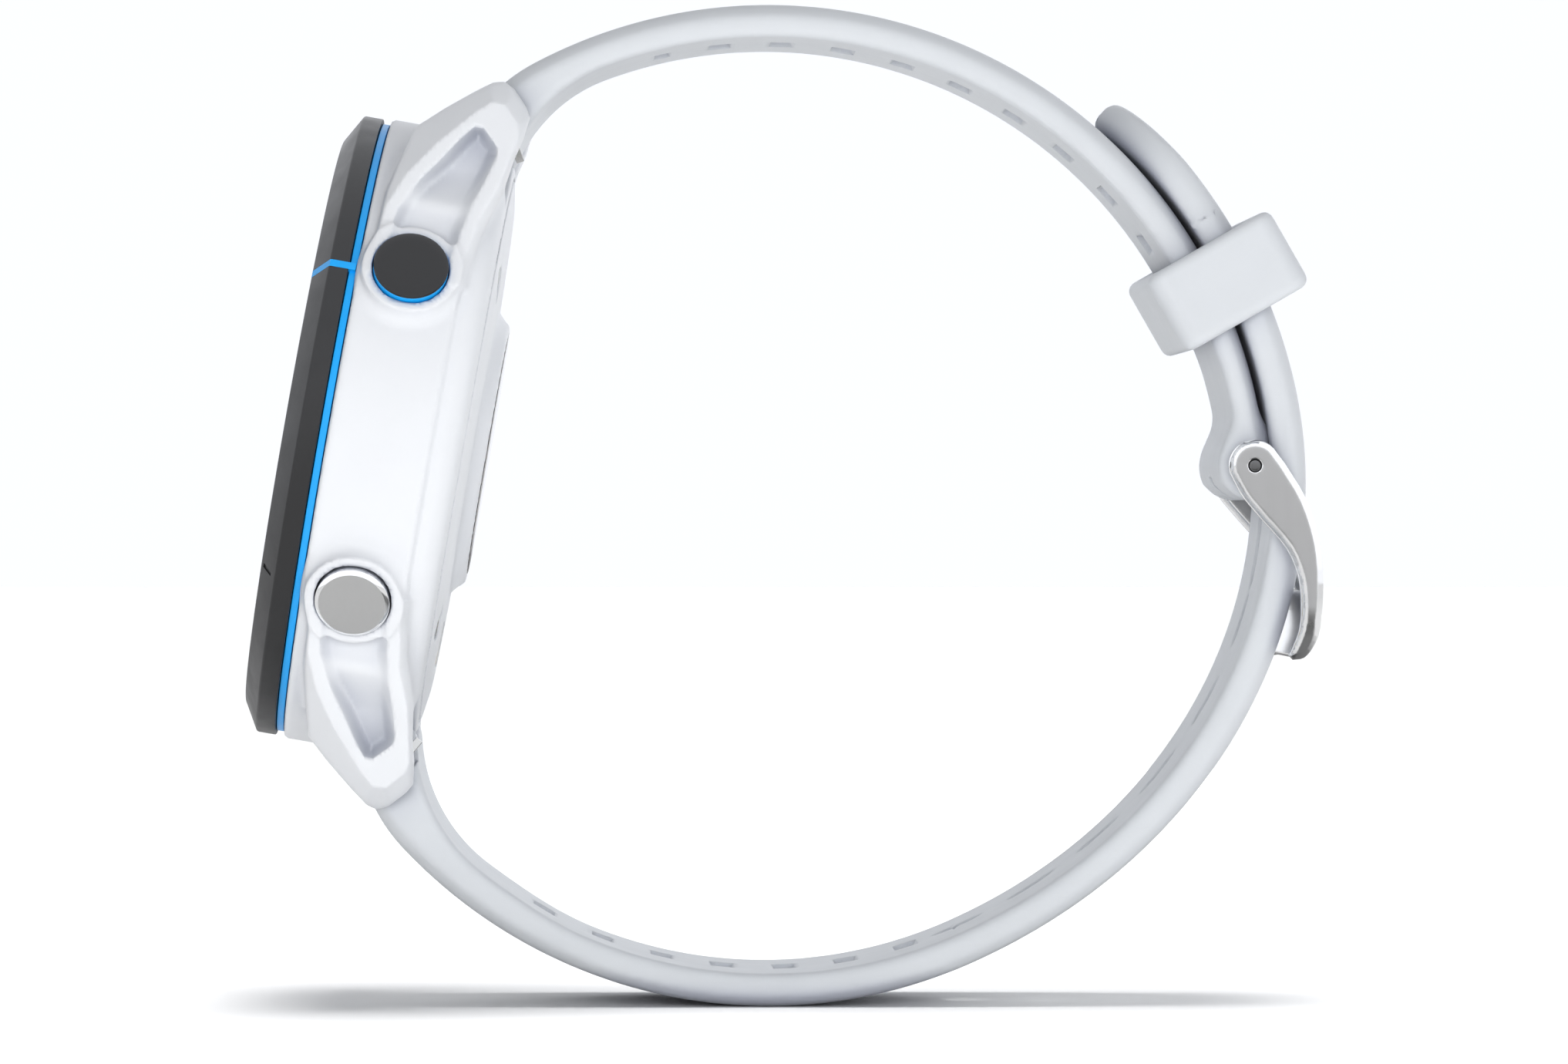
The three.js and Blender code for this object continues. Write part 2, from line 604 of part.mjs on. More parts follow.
// Tail side: arc, climb over the buckle's pin, then the tail outside the other strap
const climb = (angle) => ease((angle + 66) / 80);
const lowerOut = (angle) => lowerOuter + (tailOuter - lowerOuter) * climb(angle);
const lowerIn = (angle) => lowerInner + (tailOuter - tailThickness - lowerInner) * climb(angle);
const tailTip = [
  onLoop(37.3, 47.2), onLoop(37.7, 48.6), onLoop(38.4, 49.5), onLoop(39.05, 49.3), onLoop(39.6, 48.2),
];
const lowerRoot = rootOutline.map(([z, y]) => inRow(z, -y));
const lowerStrapOutline = [
  ...lowerRoot,
  ...sweep(lowerIn, -129, 46, 34),
  ...tailTip,
  ...sweep(lowerOut, 46.5, -140, 36),
];
let lowerStrap = alongWidth(lowerStrapOutline, -halfWidth, halfWidth, edgeBevel)
  .subtract(rootClearance(-1)).subtract(tongueRoom);

// Adjustment holes: one is on the tongue, the rest follow at an even pitch both ways
const tongueHoleAngle = -3.2;
for (let n = -6; n <= 5; n += 1) {
  if (n === 0) continue;
  const angle = tongueHoleAngle + n * THREE.MathUtils.radToDeg(holePitch / 38);
  const slot = new THREE.CylinderGeometry(holeSize.width / 2, holeSize.width / 2, 8, segments.tiny);
  const reach = (holeSize.length - holeSize.width) / 2;
  const place = (shift) => {
    const end = slot.clone().rotateZ(-Math.PI / 2).translate(38, 0, shift);
    return solid(end.rotateY(-toRadians(angle)).translate(loopCentre.x, 0, loopCentre.y));
  };
  const middle = new THREE.BoxGeometry(8, holeSize.width, 2 * reach).translate(38, 0, 0);
  const bar = solid(middle.rotateY(-toRadians(angle)).translate(loopCentre.x, 0, loopCentre.y));
  lowerStrap = lowerStrap.subtract(place(reach).add(place(-reach)).add(bar));
}
piece(watch, 'strap_lower', lowerStrap, silicone);

// ---------------------------------------------------------------- keeper

const keeperCentre = { radius: 37.45, angle: 26.0, tilt: 3.8 };
const keeperSize = { radial: 10.5, width: 25.8, length: 6.3 };
const keeperOpening = { radial: 7.4, width: strapWidth + 2 * 0.35 };

/** Rounded rectangle centred on the origin. */
function roundedRectangle(width, height, radius, path) {
  const x = width / 2 - radius;
  const y = height / 2 - radius;
  path.absarc(x, y, radius, 0, Math.PI / 2);
  path.absarc(-x, y, radius, Math.PI / 2, Math.PI);
  path.absarc(-x, -y, radius, Math.PI, 1.5 * Math.PI);
  path.absarc(x, -y, radius, 1.5 * Math.PI, 2 * Math.PI);
  path.closePath();
  return path;
}
const keeperShape = roundedRectangle(keeperSize.radial, keeperSize.width, 1.6, new THREE.Shape());
keeperShape.holes.push(
  roundedRectangle(keeperOpening.radial, keeperOpening.width, 0.5, new THREE.Path()));
const keeperBevel = 0.4;
const keeperGeometry = new THREE.ExtrudeGeometry(keeperShape, {
  depth: keeperSize.length - 2 * keeperBevel,
  curveSegments: 3,
  bevelThickness: keeperBevel,
  bevelSize: keeperBevel / 2,
  bevelOffset: -keeperBevel / 2,
  bevelSegments: 1,
});
keeperGeometry.translate(0, 0, -keeperSize.length / 2 + keeperBevel);
const keeperPlace = onLoop(keeperCentre.radius, keeperCentre.angle);
keeperGeometry.rotateY(-toRadians(keeperCentre.angle + keeperCentre.tilt));
keeperGeometry.translate(keeperPlace.x, 0, keeperPlace.y);
piece(watch, 'keeper', solid(keeperGeometry), silicone);

// ---------------------------------------------------------------- buckle

const armEye = 1.9;
const inPlane = (list) => list.map(([x, z]) => new THREE.Vector2(x, z));
const smooth = (list, steps) => new THREE.SplineCurve(list).getPoints(steps);
const armEyeArc = new THREE.EllipseCurve(pivot.x, pivot.y, armEye, armEye, toRadians(42), toRadians(196));
const armInner = inPlane([[54.95, -2.2], [55.6, -3.3], [56.95, -4.9], [58.7, -6.95], [59.6, -9.0],
  [59.85, -10.9], [59.65, -12.8], [58.75, -14.6]]);
const armOuter = inPlane([[59.55, -15.2], [60.65, -14.5], [61.3, -12.8], [61.5, -9.5], [61.15, -6.4],
  [60.15, -3.3], [58.6, -0.7]]);
const armOutline = [...armEyeArc.getPoints(9), ...smooth(armInner, 11), ...smooth(armOuter, 12)];
const barOutline = inPlane([[59.9, -10.0], [59.85, -11.4], [59.65, -12.8], [58.75, -14.6],
  [59.55, -15.2], [60.65, -14.5], [61.3, -12.8], [61.48, -10.4], [61.1, -9.9]]);

const armThickness = buckleOuterHalf - buckleInnerHalf;
const arm = (y0) => alongWidth(armOutline, y0, y0 + armThickness, 0.25);
const notch = strip(tongueLine.slice(2), tongueThickness / 2 + 0.12);
const frame = arm(-buckleOuterHalf)
  .add(arm(buckleInnerHalf))
  .add(alongWidth(barOutline, -buckleOuterHalf + 0.3, buckleOuterHalf - 0.3))
  .subtract(pinBore(pinRadius + 0.06))
  .subtract(alongWidth(notch, -tongueHalf - 0.15, tongueHalf + 0.15))
  .subtract(block([60.9, -tongueHalf - 0.15, -13.0], [63, tongueHalf + 0.15, -9]));
piece(watch, 'buckle_frame', frame, steel);

piece(watch, 'buckle_tongue', roundAtPin(tongueEyeRadius, tongueHalf)
  .add(alongWidth(strip(tongueLine, tongueThickness / 2), -tongueHalf, tongueHalf))
  .subtract(pinBore(pinRadius + 0.1)), steel);

piece(watch, 'buckle_pin', roundAtPin(pinRadius, buckleOuterHalf - 0.05), steel);

export default watch;
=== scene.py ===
# %% [markdown]
# A GPS running watch, buckled into a closed loop.
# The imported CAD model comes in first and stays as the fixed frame: it says where every piece is and
# how it moves. Everything after that is about looks. Lengths in this lesson are in millimetres, and
# each mesh is turned into metres at the last moment.

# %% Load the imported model
import json
import math

import bmesh
import bpy
import numpy as np
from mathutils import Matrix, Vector


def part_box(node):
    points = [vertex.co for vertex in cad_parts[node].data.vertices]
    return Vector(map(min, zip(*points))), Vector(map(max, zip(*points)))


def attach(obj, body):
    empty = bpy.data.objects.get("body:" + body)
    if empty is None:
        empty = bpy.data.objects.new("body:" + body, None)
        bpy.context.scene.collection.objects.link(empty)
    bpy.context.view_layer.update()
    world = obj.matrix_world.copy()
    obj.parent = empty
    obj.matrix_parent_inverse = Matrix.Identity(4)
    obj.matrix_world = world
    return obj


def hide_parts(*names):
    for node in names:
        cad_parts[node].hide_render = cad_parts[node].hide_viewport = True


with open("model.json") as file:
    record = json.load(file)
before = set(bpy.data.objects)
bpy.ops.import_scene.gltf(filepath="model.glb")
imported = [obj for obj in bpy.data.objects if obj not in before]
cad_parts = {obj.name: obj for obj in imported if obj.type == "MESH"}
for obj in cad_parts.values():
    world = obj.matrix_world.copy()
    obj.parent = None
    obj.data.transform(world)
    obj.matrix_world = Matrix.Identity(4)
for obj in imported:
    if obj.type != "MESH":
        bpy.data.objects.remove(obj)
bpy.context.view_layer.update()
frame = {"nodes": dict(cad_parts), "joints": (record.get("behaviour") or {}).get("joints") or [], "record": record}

MM = 0.001
JOINTS = {j["name"]: j for j in frame["joints"]}
MOUNTS = {m["name"]: m for m in frame["record"]["mounts"]}

# %% [markdown]
# The case leans, so its pieces are easiest to describe in the case's own axes: x towards 3 o'clock,
# y towards 12 o'clock, z the way the display faces, and zero at the middle of the rear window. The
# mount on that window gives the lean, so no angle has to be typed in twice.

# %% Axes of the case
FACING = -np.array(MOUNTS["wrist_seat"]["axis"], float)
FACING /= np.linalg.norm(FACING)
RIGHT = np.array([0.0, -1.0, 0.0])
TWELVE = np.cross(FACING, RIGHT)
CASE_AXES = np.column_stack([RIGHT, TWELVE, FACING])


def case_to_row(points):
    """Turns points of the case (mm) into the row frame (mm): each is a sum of the three axes."""
    return np.asarray(points, float) @ CASE_AXES.T


def row_to_case(points):
    """The same turn backwards, which for a rotation is its transpose."""
    return np.asarray(points, float) @ CASE_AXES


def case_box(node):
    """Lowest and highest corner of a CAD node, measured along the case's own axes, in mm."""
    mesh = frame["nodes"][node].data
    flat = np.zeros(3 * len(mesh.vertices))
    mesh.vertices.foreach_get("co", flat)
    local = row_to_case(flat.reshape(-1, 3) / MM)
    return local.min(0), local.max(0)


def row_box(node):
    """Lowest and highest corner of a CAD node in the row frame, in mm."""
    low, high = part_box(node)
    return np.array(low) / MM, np.array(high) / MM


def middle(box):
    """Middle of a box: the mean of its two corners."""
    return (box[0] + box[1]) / 2


BEZEL_LOW, BEZEL_HIGH = case_box("bezel")
LENS_LOW, LENS_HIGH = case_box("lens")
LOOP_CENTRE = np.array(JOINTS["keeper_travel"]["pos_m"]) / MM
PIVOT = np.array(JOINTS["buckle_hinge"]["pos_m"]) / MM
print("bezel radius", round(BEZEL_HIGH[0], 2), "mm, front at", round(BEZEL_HIGH[2], 2), "mm")

# %% [markdown]
# The camera is a long lens in front of the 3 o'clock side, level with the middle of the case. The
# floor touches the lowest point of the strap. Soft light comes from big panels and a pale sky, so
# white plastic shows its form only in gentle greys.

# %% Camera
def new_object(name, data):
    """An object that shows some data, put in the scene."""
    item = bpy.data.objects.new(name, data)
    bpy.context.scene.collection.objects.link(item)
    return item


CAMERA_DISTANCE = 650.0
VIEW_WIDTH = 117.166
SENSOR_WIDTH = 36.0
camera_place = Vector((8.65, -CAMERA_DISTANCE, -4.84)) * MM
camera_target = Vector((22.07, 0.0, -5.76)) * MM
camera_data = bpy.data.cameras.new("camera")
camera_data.sensor_width = SENSOR_WIDTH
camera_data.lens = CAMERA_DISTANCE / VIEW_WIDTH * SENSOR_WIDTH
camera_data.clip_start = 0.01
camera_data.clip_end = 20.0
camera = new_object("camera", camera_data)
camera.location = camera_place
camera.rotation_euler = (camera_target - camera_place).to_track_quat("-Z", "Y").to_euler()
bpy.context.scene.camera = camera
print("lens", round(camera_data.lens, 1), "mm")


# %% [markdown]
# Every finish here is a Principled shader fed by a few procedural nodes. Image textures would also do,
# but nodes need no files and stay sharp at any distance. The same small steps come back in every
# finish (coordinates, noise, a range, a blend of two colours, a bump), so each one is a helper.

# %% Helpers for node materials
def node_material(name):
    """A new material with a Principled shader; gives the material, its tree and the shader."""
    material = bpy.data.materials.new(name)
    material.use_nodes = True
    tree = material.node_tree
    shader = next(n for n in tree.nodes if n.type == "BSDF_PRINCIPLED")
    return material, tree, shader


def give(tree, node, values):
    """Fills a node's sockets by name: what comes out of another node is linked, the rest typed in."""
    for name, value in values.items():
        socket = node.inputs[name]
        if isinstance(value, bpy.types.NodeSocket):
            tree.links.new(value, socket)
        elif socket.type == "RGBA":
            socket.default_value = (*value, 1.0)
        else:
            socket.default_value = value


def add_node(tree, kind, values, **settings):
    """Adds a node, with its own settings and its sockets filled."""
    node = tree.nodes.new(f"ShaderNode{kind}")
    for name, value in settings.items():
        setattr(node, name, value)
    give(tree, node, values)
    return node


def object_coordinates(tree, stretch=(1, 1, 1)):
    """Object coordinates through a Mapping node, which scales the pattern."""
    place_on_piece = add_node(tree, "TexCoord", {}).outputs["Object"]
    return add_node(tree, "Mapping", {"Scale": stretch, "Vector": place_on_piece}).outputs["Vector"]


def noise(tree, vector, grain_mm, detail=3.0, roughness=0.55):
    """Noise whose blobs are about grain_mm across."""
    values = {"Vector": vector, "Scale": 1.0 / (grain_mm * MM), "Detail": detail, "Roughness": roughness}
    return add_node(tree, "TexNoise", values).outputs["Fac"]


def spread(tree, factor, low, high, from_low=0.3, from_high=0.7):
    """Maps a factor onto the range from low to high."""
    values = {"Value": factor, "From Min": from_low, "From Max": from_high, "To Min": low, "To Max": high}
    return add_node(tree, "MapRange", values).outputs["Result"]


def blend(tree, factor, first, second, kind="RGBA"):
    """Blend of two colours by a factor, or of two numbers when the kind is FLOAT."""
    values = {"Factor": factor, "A": first, "B": second}
    return add_node(tree, "Mix", values, data_type=kind).outputs["Result"]


def bump(tree, height, depth_mm, strength):
    """A Bump node whose full height is depth_mm."""
    values = {"Height": height, "Distance": depth_mm * MM, "Strength": strength}
    return add_node(tree, "Bump", values).outputs["Normal"]


# %% [markdown]
# Moulded plastic is nearly even in colour. What sells it is a fine spark-eroded grain copied from the
# mould, a roughness that wanders a little, and light that enters the surface slightly.

# %% Plastics and rubber
COLOUR_DRIFT, DRIFT_GRAIN, PATCH_GRAIN = 0.025, 6.0, 2.5
CREASE_SHADE_REACH = 3.0
GLOW_DEPTH = 0.6


def moulded(name, colour, roughness, grain_mm, grain_depth_mm, glow=0.0, crease_shade_colour=None):
    """Moulded finish: drifting colour and roughness, and a fine grain as a bump. A shade colour, if given, is
    painted shade: it fills grooves and pockets, where an ambient occlusion node finds little open space."""
    material, tree, shader = node_material(name)
    coords = object_coordinates(tree)
    darker = tuple(c * (1 - COLOUR_DRIFT) for c in colour)
    lighter = tuple(min(1.0, c * (1 + COLOUR_DRIFT)) for c in colour)
    surface = blend(tree, noise(tree, coords, DRIFT_GRAIN), darker, lighter)
    # painted shade: grooves, pockets and gaps between parts turn towards the shade colour by ambient occlusion
    if crease_shade_colour is not None:
        occlusion = add_node(tree, "AmbientOcclusion", {"Distance": CREASE_SHADE_REACH * MM}, samples=8)
        open_space = spread(tree, occlusion.outputs["AO"], 0.0, 1.0, 0.25, 0.95)
        surface = blend(tree, open_space, crease_shade_colour, surface)
    patches = noise(tree, coords, PATCH_GRAIN)
    grain = noise(tree, coords, grain_mm, detail=4.0)
    give(tree, shader, {
        "Base Color": surface,
        "Roughness": spread(tree, patches, roughness - 0.04, roughness + 0.05),
        "Normal": bump(tree, grain, grain_depth_mm, 0.5),
        "Subsurface Weight": glow,
        "Subsurface Radius": (1.0, 0.95, 0.9),
        "Subsurface Scale": GLOW_DEPTH * MM,
    })
    return material


def shader_of(material):
    """The Principled shader of a finished material, for what only one finish needs."""
    return material.node_tree.nodes["Principled BSDF"]


# the grey of the painted shade in the grooves and pockets of the white plastic and the silicone
SHADOW_GREY = (0.44, 0.46, 0.52)
white_polymer = moulded("white_polymer", (0.80, 0.815, 0.84), 0.40, 0.22, 0.006, 0.06, SHADOW_GREY)
silicone = moulded("white_silicone", (0.66, 0.683, 0.71), 0.50, 0.16, 0.005, 0.10, SHADOW_GREY)
shader_of(silicone).inputs["Sheen Weight"].default_value = 0.08
shader_of(silicone).inputs["Sheen Roughness"].default_value = 0.4
bezel_polymer = moulded("bezel_polymer", (0.016, 0.016, 0.017), 0.40, 0.14, 0.008)
gloss_black = moulded("gloss_black", (0.008, 0.008, 0.009), 0.10, 0.5, 0.0008)
blue_polymer = moulded("blue_polymer", (0.006, 0.40, 0.95), 0.38, 0.2, 0.004)
black_rubber = moulded("black_rubber", (0.02, 0.02, 0.02), 0.75, 0.1, 0.01)
grey_polymer = moulded("grey_polymer", (0.30, 0.31, 0.32), 0.5, 0.2, 0.008)
battery_foil = moulded("battery_foil", (0.55, 0.55, 0.57), 0.35, 1.2, 0.03)
shader_of(battery_foil).inputs["Metallic"].default_value = 0.8


# %% [markdown]
# Brushed steel is a mirror with fine parallel scratches. The scratches are noise stretched many times
# over along one direction. The bevels are buffed bright, and a bevel is wherever the surface turns
# away from the face that was brushed, so the surface normal itself can choose between the two.

# %% Metals
SCRATCH_DEPTH = 0.004


def brushed_steel(name, brushed, scratches, rough, face_axis=None, polished=None, polished_rough=0.1):
    """Stretched noise for scratches. With a face axis, only faces square to it are brushed, and the
    rest is polished: the choice is the size of the dot product of surface normal and axis."""
    material, tree, shader = node_material(name)
    lines = noise(tree, object_coordinates(tree, scratches), 1.0, detail=5.0, roughness=0.7)
    colour = blend(tree, lines, tuple(c * 0.94 for c in brushed), tuple(c * 1.06 for c in brushed))
    roughness = spread(tree, lines, rough - 0.06, rough + 0.08)
    if face_axis is not None:
        normal = add_node(tree, "NewGeometry", {}).outputs["Normal"]
        dot = add_node(tree, "VectorMath", {}, operation="DOT_PRODUCT")
        dot.inputs[1].default_value = face_axis
        tree.links.new(normal, dot.inputs[0])
        size = add_node(tree, "Math", {}, operation="ABSOLUTE")
        tree.links.new(dot.outputs["Value"], size.inputs[0])
        on_face = spread(tree, size.outputs[0], 0.0, 1.0, 0.93, 0.985)
        roughness = blend(tree, on_face, polished_rough, roughness, "FLOAT")
        colour = blend(tree, on_face, polished, colour)
    scratched = bump(tree, lines, SCRATCH_DEPTH, 0.35)
    give(tree, shader, {"Metallic": 1.0, "Base Color": colour, "Roughness": roughness, "Normal": scratched})
    return material


BRIGHT_STEEL, PLAIN_GREY, PIN_GREY = (0.93, 0.93, 0.93), (0.62, 0.62, 0.61), (0.17, 0.17, 0.17)
BUCKLE_GREY, BUTTON_GREY, GOLD = (0.52, 0.516, 0.51), (0.60, 0.60, 0.595), (0.90, 0.68, 0.32)
buckle_steel = brushed_steel("buckle_steel", BUCKLE_GREY, (1.0, 1.0, 0.03), 0.34, (0.0, 1.0, 0.0),
                             BRIGHT_STEEL)
pin_steel = brushed_steel("pin_steel", PIN_GREY, (1.0, 0.05, 1.0), 0.35)
plain_steel = brushed_steel("plain_steel", PLAIN_GREY, (0.05, 1.0, 1.0), 0.22)
contact_gold = brushed_steel("contact_gold", GOLD, (1.0, 1.0, 0.2), 0.24)


# %% [markdown]
# The lens and the sensor window are mineral glass with faint smears on them, so their roughness
# wanders a little. The boards inside the case aren't plain green plastic either: a cell pattern
# stands for the copper tracks under the lacquer.

# %% Glass and circuit board
def clear_glass(name, tint, roughness):
    """Glass: transmits, with a faint film of smears in its roughness."""
    material, tree, shader = node_material(name)
    smears = noise(tree, object_coordinates(tree), 9.0, detail=2.0)
    colour = blend(tree, smears, tint, tuple(0.97 * c for c in tint))
    film = spread(tree, smears, roughness, roughness + 0.03)
    give(tree, shader, {"Base Color": colour, "Roughness": film, "Transmission Weight": 1.0, "IOR": 1.5})
    return material


cover_glass = clear_glass("cover_glass", (0.93, 0.94, 0.95), 0.01)
sensor_glass = clear_glass("sensor_glass", (0.10, 0.10, 0.11), 0.02)

TRACK_CELL = 1.4
circuit_green, tree, shader = node_material("circuit_green")
cells = add_node(tree, "TexVoronoi", {"Vector": object_coordinates(tree), "Scale": 1.0 / (TRACK_CELL * MM)},
                 feature="DISTANCE_TO_EDGE")
tracks = spread(tree, cells.outputs["Distance"], 0.0, 1.0, 0.05, 0.12)
lacquer = blend(tree, tracks, (0.05, 0.22, 0.10), (0.015, 0.09, 0.04))
give(tree, shader, {"Base Color": lacquer, "Roughness": 0.35})
print("glass and board:", cover_glass.name, sensor_glass.name, circuit_green.name)


# %% [markdown]
# Two ways of making a surface are enough for the whole watch. The first is for turned pieces: a
# profile is spun about an axis. Its corners are rounded beforehand, because no real corner is sharp.

# %% Helpers for meshes
def add_mesh(name, points_mm, faces, normals=None):
    """Makes an object from row-frame points in mm and lists of corners, with smooth shading."""
    mesh = bpy.data.meshes.new(name)
    mesh.from_pydata((points_mm * MM).tolist(), [], faces.tolist() if hasattr(faces, "tolist") else faces)
    mesh.validate()
    mesh.polygons.foreach_set("use_smooth", np.ones(len(mesh.polygons), bool))
    if normals is not None:
        mesh.normals_split_custom_set_from_vertices(normals.tolist())
    mesh.update()
    return new_object(name, mesh)


def place(piece, material, body, *nodes):
    """Gives a piece its material and the body it rides on, and hides the CAD nodes that it stands for."""
    piece.data.materials.clear()
    piece.data.materials.append(material)
    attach(piece, body)
    if nodes:
        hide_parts(*nodes)
    print(f"{piece.name}: {len(piece.data.polygons)} faces")


def fillet(profile, radii, steps=5):
    """Rounds the corners of an open or closed profile: each corner becomes a short arc, drawn as a
    curve that leaves along one edge and arrives along the next, at the given radius."""
    points = [np.array(p, float) for p in profile]
    rounded = []
    for i, corner in enumerate(points):
        radius = radii[i]
        before, after = points[i - 1] - corner, points[(i + 1) % len(points)] - corner
        if radius <= 0:
            rounded.append(corner)
            continue
        reach = min(radius, 0.45 * np.linalg.norm(before), 0.45 * np.linalg.norm(after))
        start = corner + before / np.linalg.norm(before) * reach
        end = corner + after / np.linalg.norm(after) * reach
        for t in np.linspace(0, 1, steps):
            rounded.append((1 - t) ** 2 * start + 2 * t * (1 - t) * corner + t * t * end)
    return np.array(rounded)


def spin(profile, origin, axis, start, sides):
    """Surface of revolution: each profile point (radius, height) goes round the axis at its radius.
    The rings join to each other, the last to the first, and rings of no radius become one point."""
    axis, start = np.asarray(axis, float), np.asarray(start, float)
    other = np.cross(axis, start)
    turn = np.linspace(0, 2 * np.pi, sides, endpoint=False)
    circle = np.cos(turn)[:, None] * start + np.sin(turn)[:, None] * other
    radius, height = profile[:, 0], profile[:, 1]
    points = radius[:, None, None] * circle[None] + height[:, None, None] * axis + np.asarray(origin)
    rings = len(profile)
    i, j = np.meshgrid(np.arange(rings), np.arange(sides), indexing="ij")
    here, beside = i * sides + j, i * sides + (j + 1) % sides
    above, across = ((i + 1) % rings) * sides + j, ((i + 1) % rings) * sides + (j + 1) % sides
    faces = np.stack([here, beside, across, above], -1).reshape(-1, 4)
    return points.reshape(-1, 3), faces


def clean(piece, crease_degrees=35):
    """Merges doubled points, turns faces outwards and keeps sharp turns sharp."""
    work = bmesh.new()
    work.from_mesh(piece.data)
    bmesh.ops.remove_doubles(work, verts=work.verts, dist=1e-6)
    bmesh.ops.dissolve_degenerate(work, edges=work.edges, dist=1e-7)
    bmesh.ops.recalc_face_normals(work, faces=work.faces)
    work.to_mesh(piece.data)
    work.free()
    piece.data.polygons.foreach_set("use_smooth", np.ones(len(piece.data.polygons), bool))
    piece.data.set_sharp_from_angle(angle=math.radians(crease_degrees))
    return piece


def turned(name, profile, sides=240, origin=(0, 0, 0), axis=(0, 0, 1), start=(1, 0, 0), crease=35):
    """A piece turned in the case's axes, about the case's own axis if no other is given."""
    points, faces = spin(np.asarray(profile, float), origin, axis, start, sides)
    return clean(add_mesh(name, case_to_row(points), faces), crease)


# %% [markdown]
# The second way is for everything with soft joins, such as the case with its lugs. It is easier as a
# field: a function that says how far a point is from the surface, negative inside. Fields are joined
# with a soft minimum, which leaves the same small radii that a mould leaves, and a net is then drawn
# over the place where the field is zero.

# %% Soft joins between fields
def soft_min(a, b, k):
    """Minimum of two fields, with the corner between them filled by a radius of about k."""
    h = np.maximum(k - np.abs(a - b), 0.0) / k
    return np.minimum(a, b) - h * h * k * 0.25


def soft_max(a, b, k):
    """Maximum of two fields, with its corner rounded off by about k."""
    return -soft_min(-a, -b, k)


def without(shape, cut, k):
    """A field with another taken out of it: outside the cut and inside the shape."""
    return soft_max(shape, -cut, k)


def all_of(k, *fields):
    """Soft maximum of several fields: inside all of them."""
    result = fields[0]
    for field in fields[1:]:
        result = soft_max(result, field, k)
    return result


# %% [markdown]
# Most outlines on the watch are drawings: the side of a lug, the section of the wall, an arm of the
# buckle. A drawing becomes a field when each point is given its distance to the nearest edge, and
# whether it lies inside is told by counting the edges between it and the far distance.

# %% Distance to a drawn outline
def polygon_field(u, v, outline):
    """Signed distance to a closed outline: the nearest edge gives the size, and the number of edges
    crossed on the way out gives the sign, negative inside."""
    a = np.asarray(outline, float)
    b = np.roll(a, -1, axis=0)
    nearest = np.full(np.shape(u), np.inf)
    inside = np.zeros(np.shape(u), bool)
    for (au, av), (bu, bv) in zip(a, b):
        eu, ev = bu - au, bv - av
        t = np.clip(((u - au) * eu + (v - av) * ev) / (eu * eu + ev * ev), 0, 1)
        nearest = np.minimum(nearest, (u - au - t * eu) ** 2 + (v - av - t * ev) ** 2)
        inside ^= ((av > v) != (bv > v)) & (u < eu * (v - av) / (ev + 1e-30) + au)
    return np.where(inside, -1, 1) * np.sqrt(nearest)


def smooth_step(value, low, high):
    """Climbs from 0 at low to 1 at high along an S curve."""
    t = np.clip((value - low) / (high - low), 0, 1)
    return t * t * (3 - 2 * t)


def in_chunks(field, points, chunk=150000):
    """Evaluates a field a stretch of points at a time, to spare memory."""
    return np.concatenate([field(points[i:i + chunk]) for i in range(0, len(points), chunk)])


def unit(vectors):
    """Vectors scaled to length one."""
    return vectors / np.maximum(np.linalg.norm(vectors, axis=1, keepdims=True), 1e-9)


def slope(field, points, h=0.03):
    """Gradient of a field by central differences."""
    columns = []
    for axis in np.eye(3) * h:
        columns.append((in_chunks(field, points + axis) - in_chunks(field, points - axis)) / (2 * h))
    return np.stack(columns, -1)


# %% [markdown]
# Marching cubes is the usual way to mesh a field, but it cuts every sharp edge off. This net puts one
# point in each cube that the surface passes through, where the tangent planes meet, so an edge between
# two flat faces stays an edge, and it makes even four-sided faces.

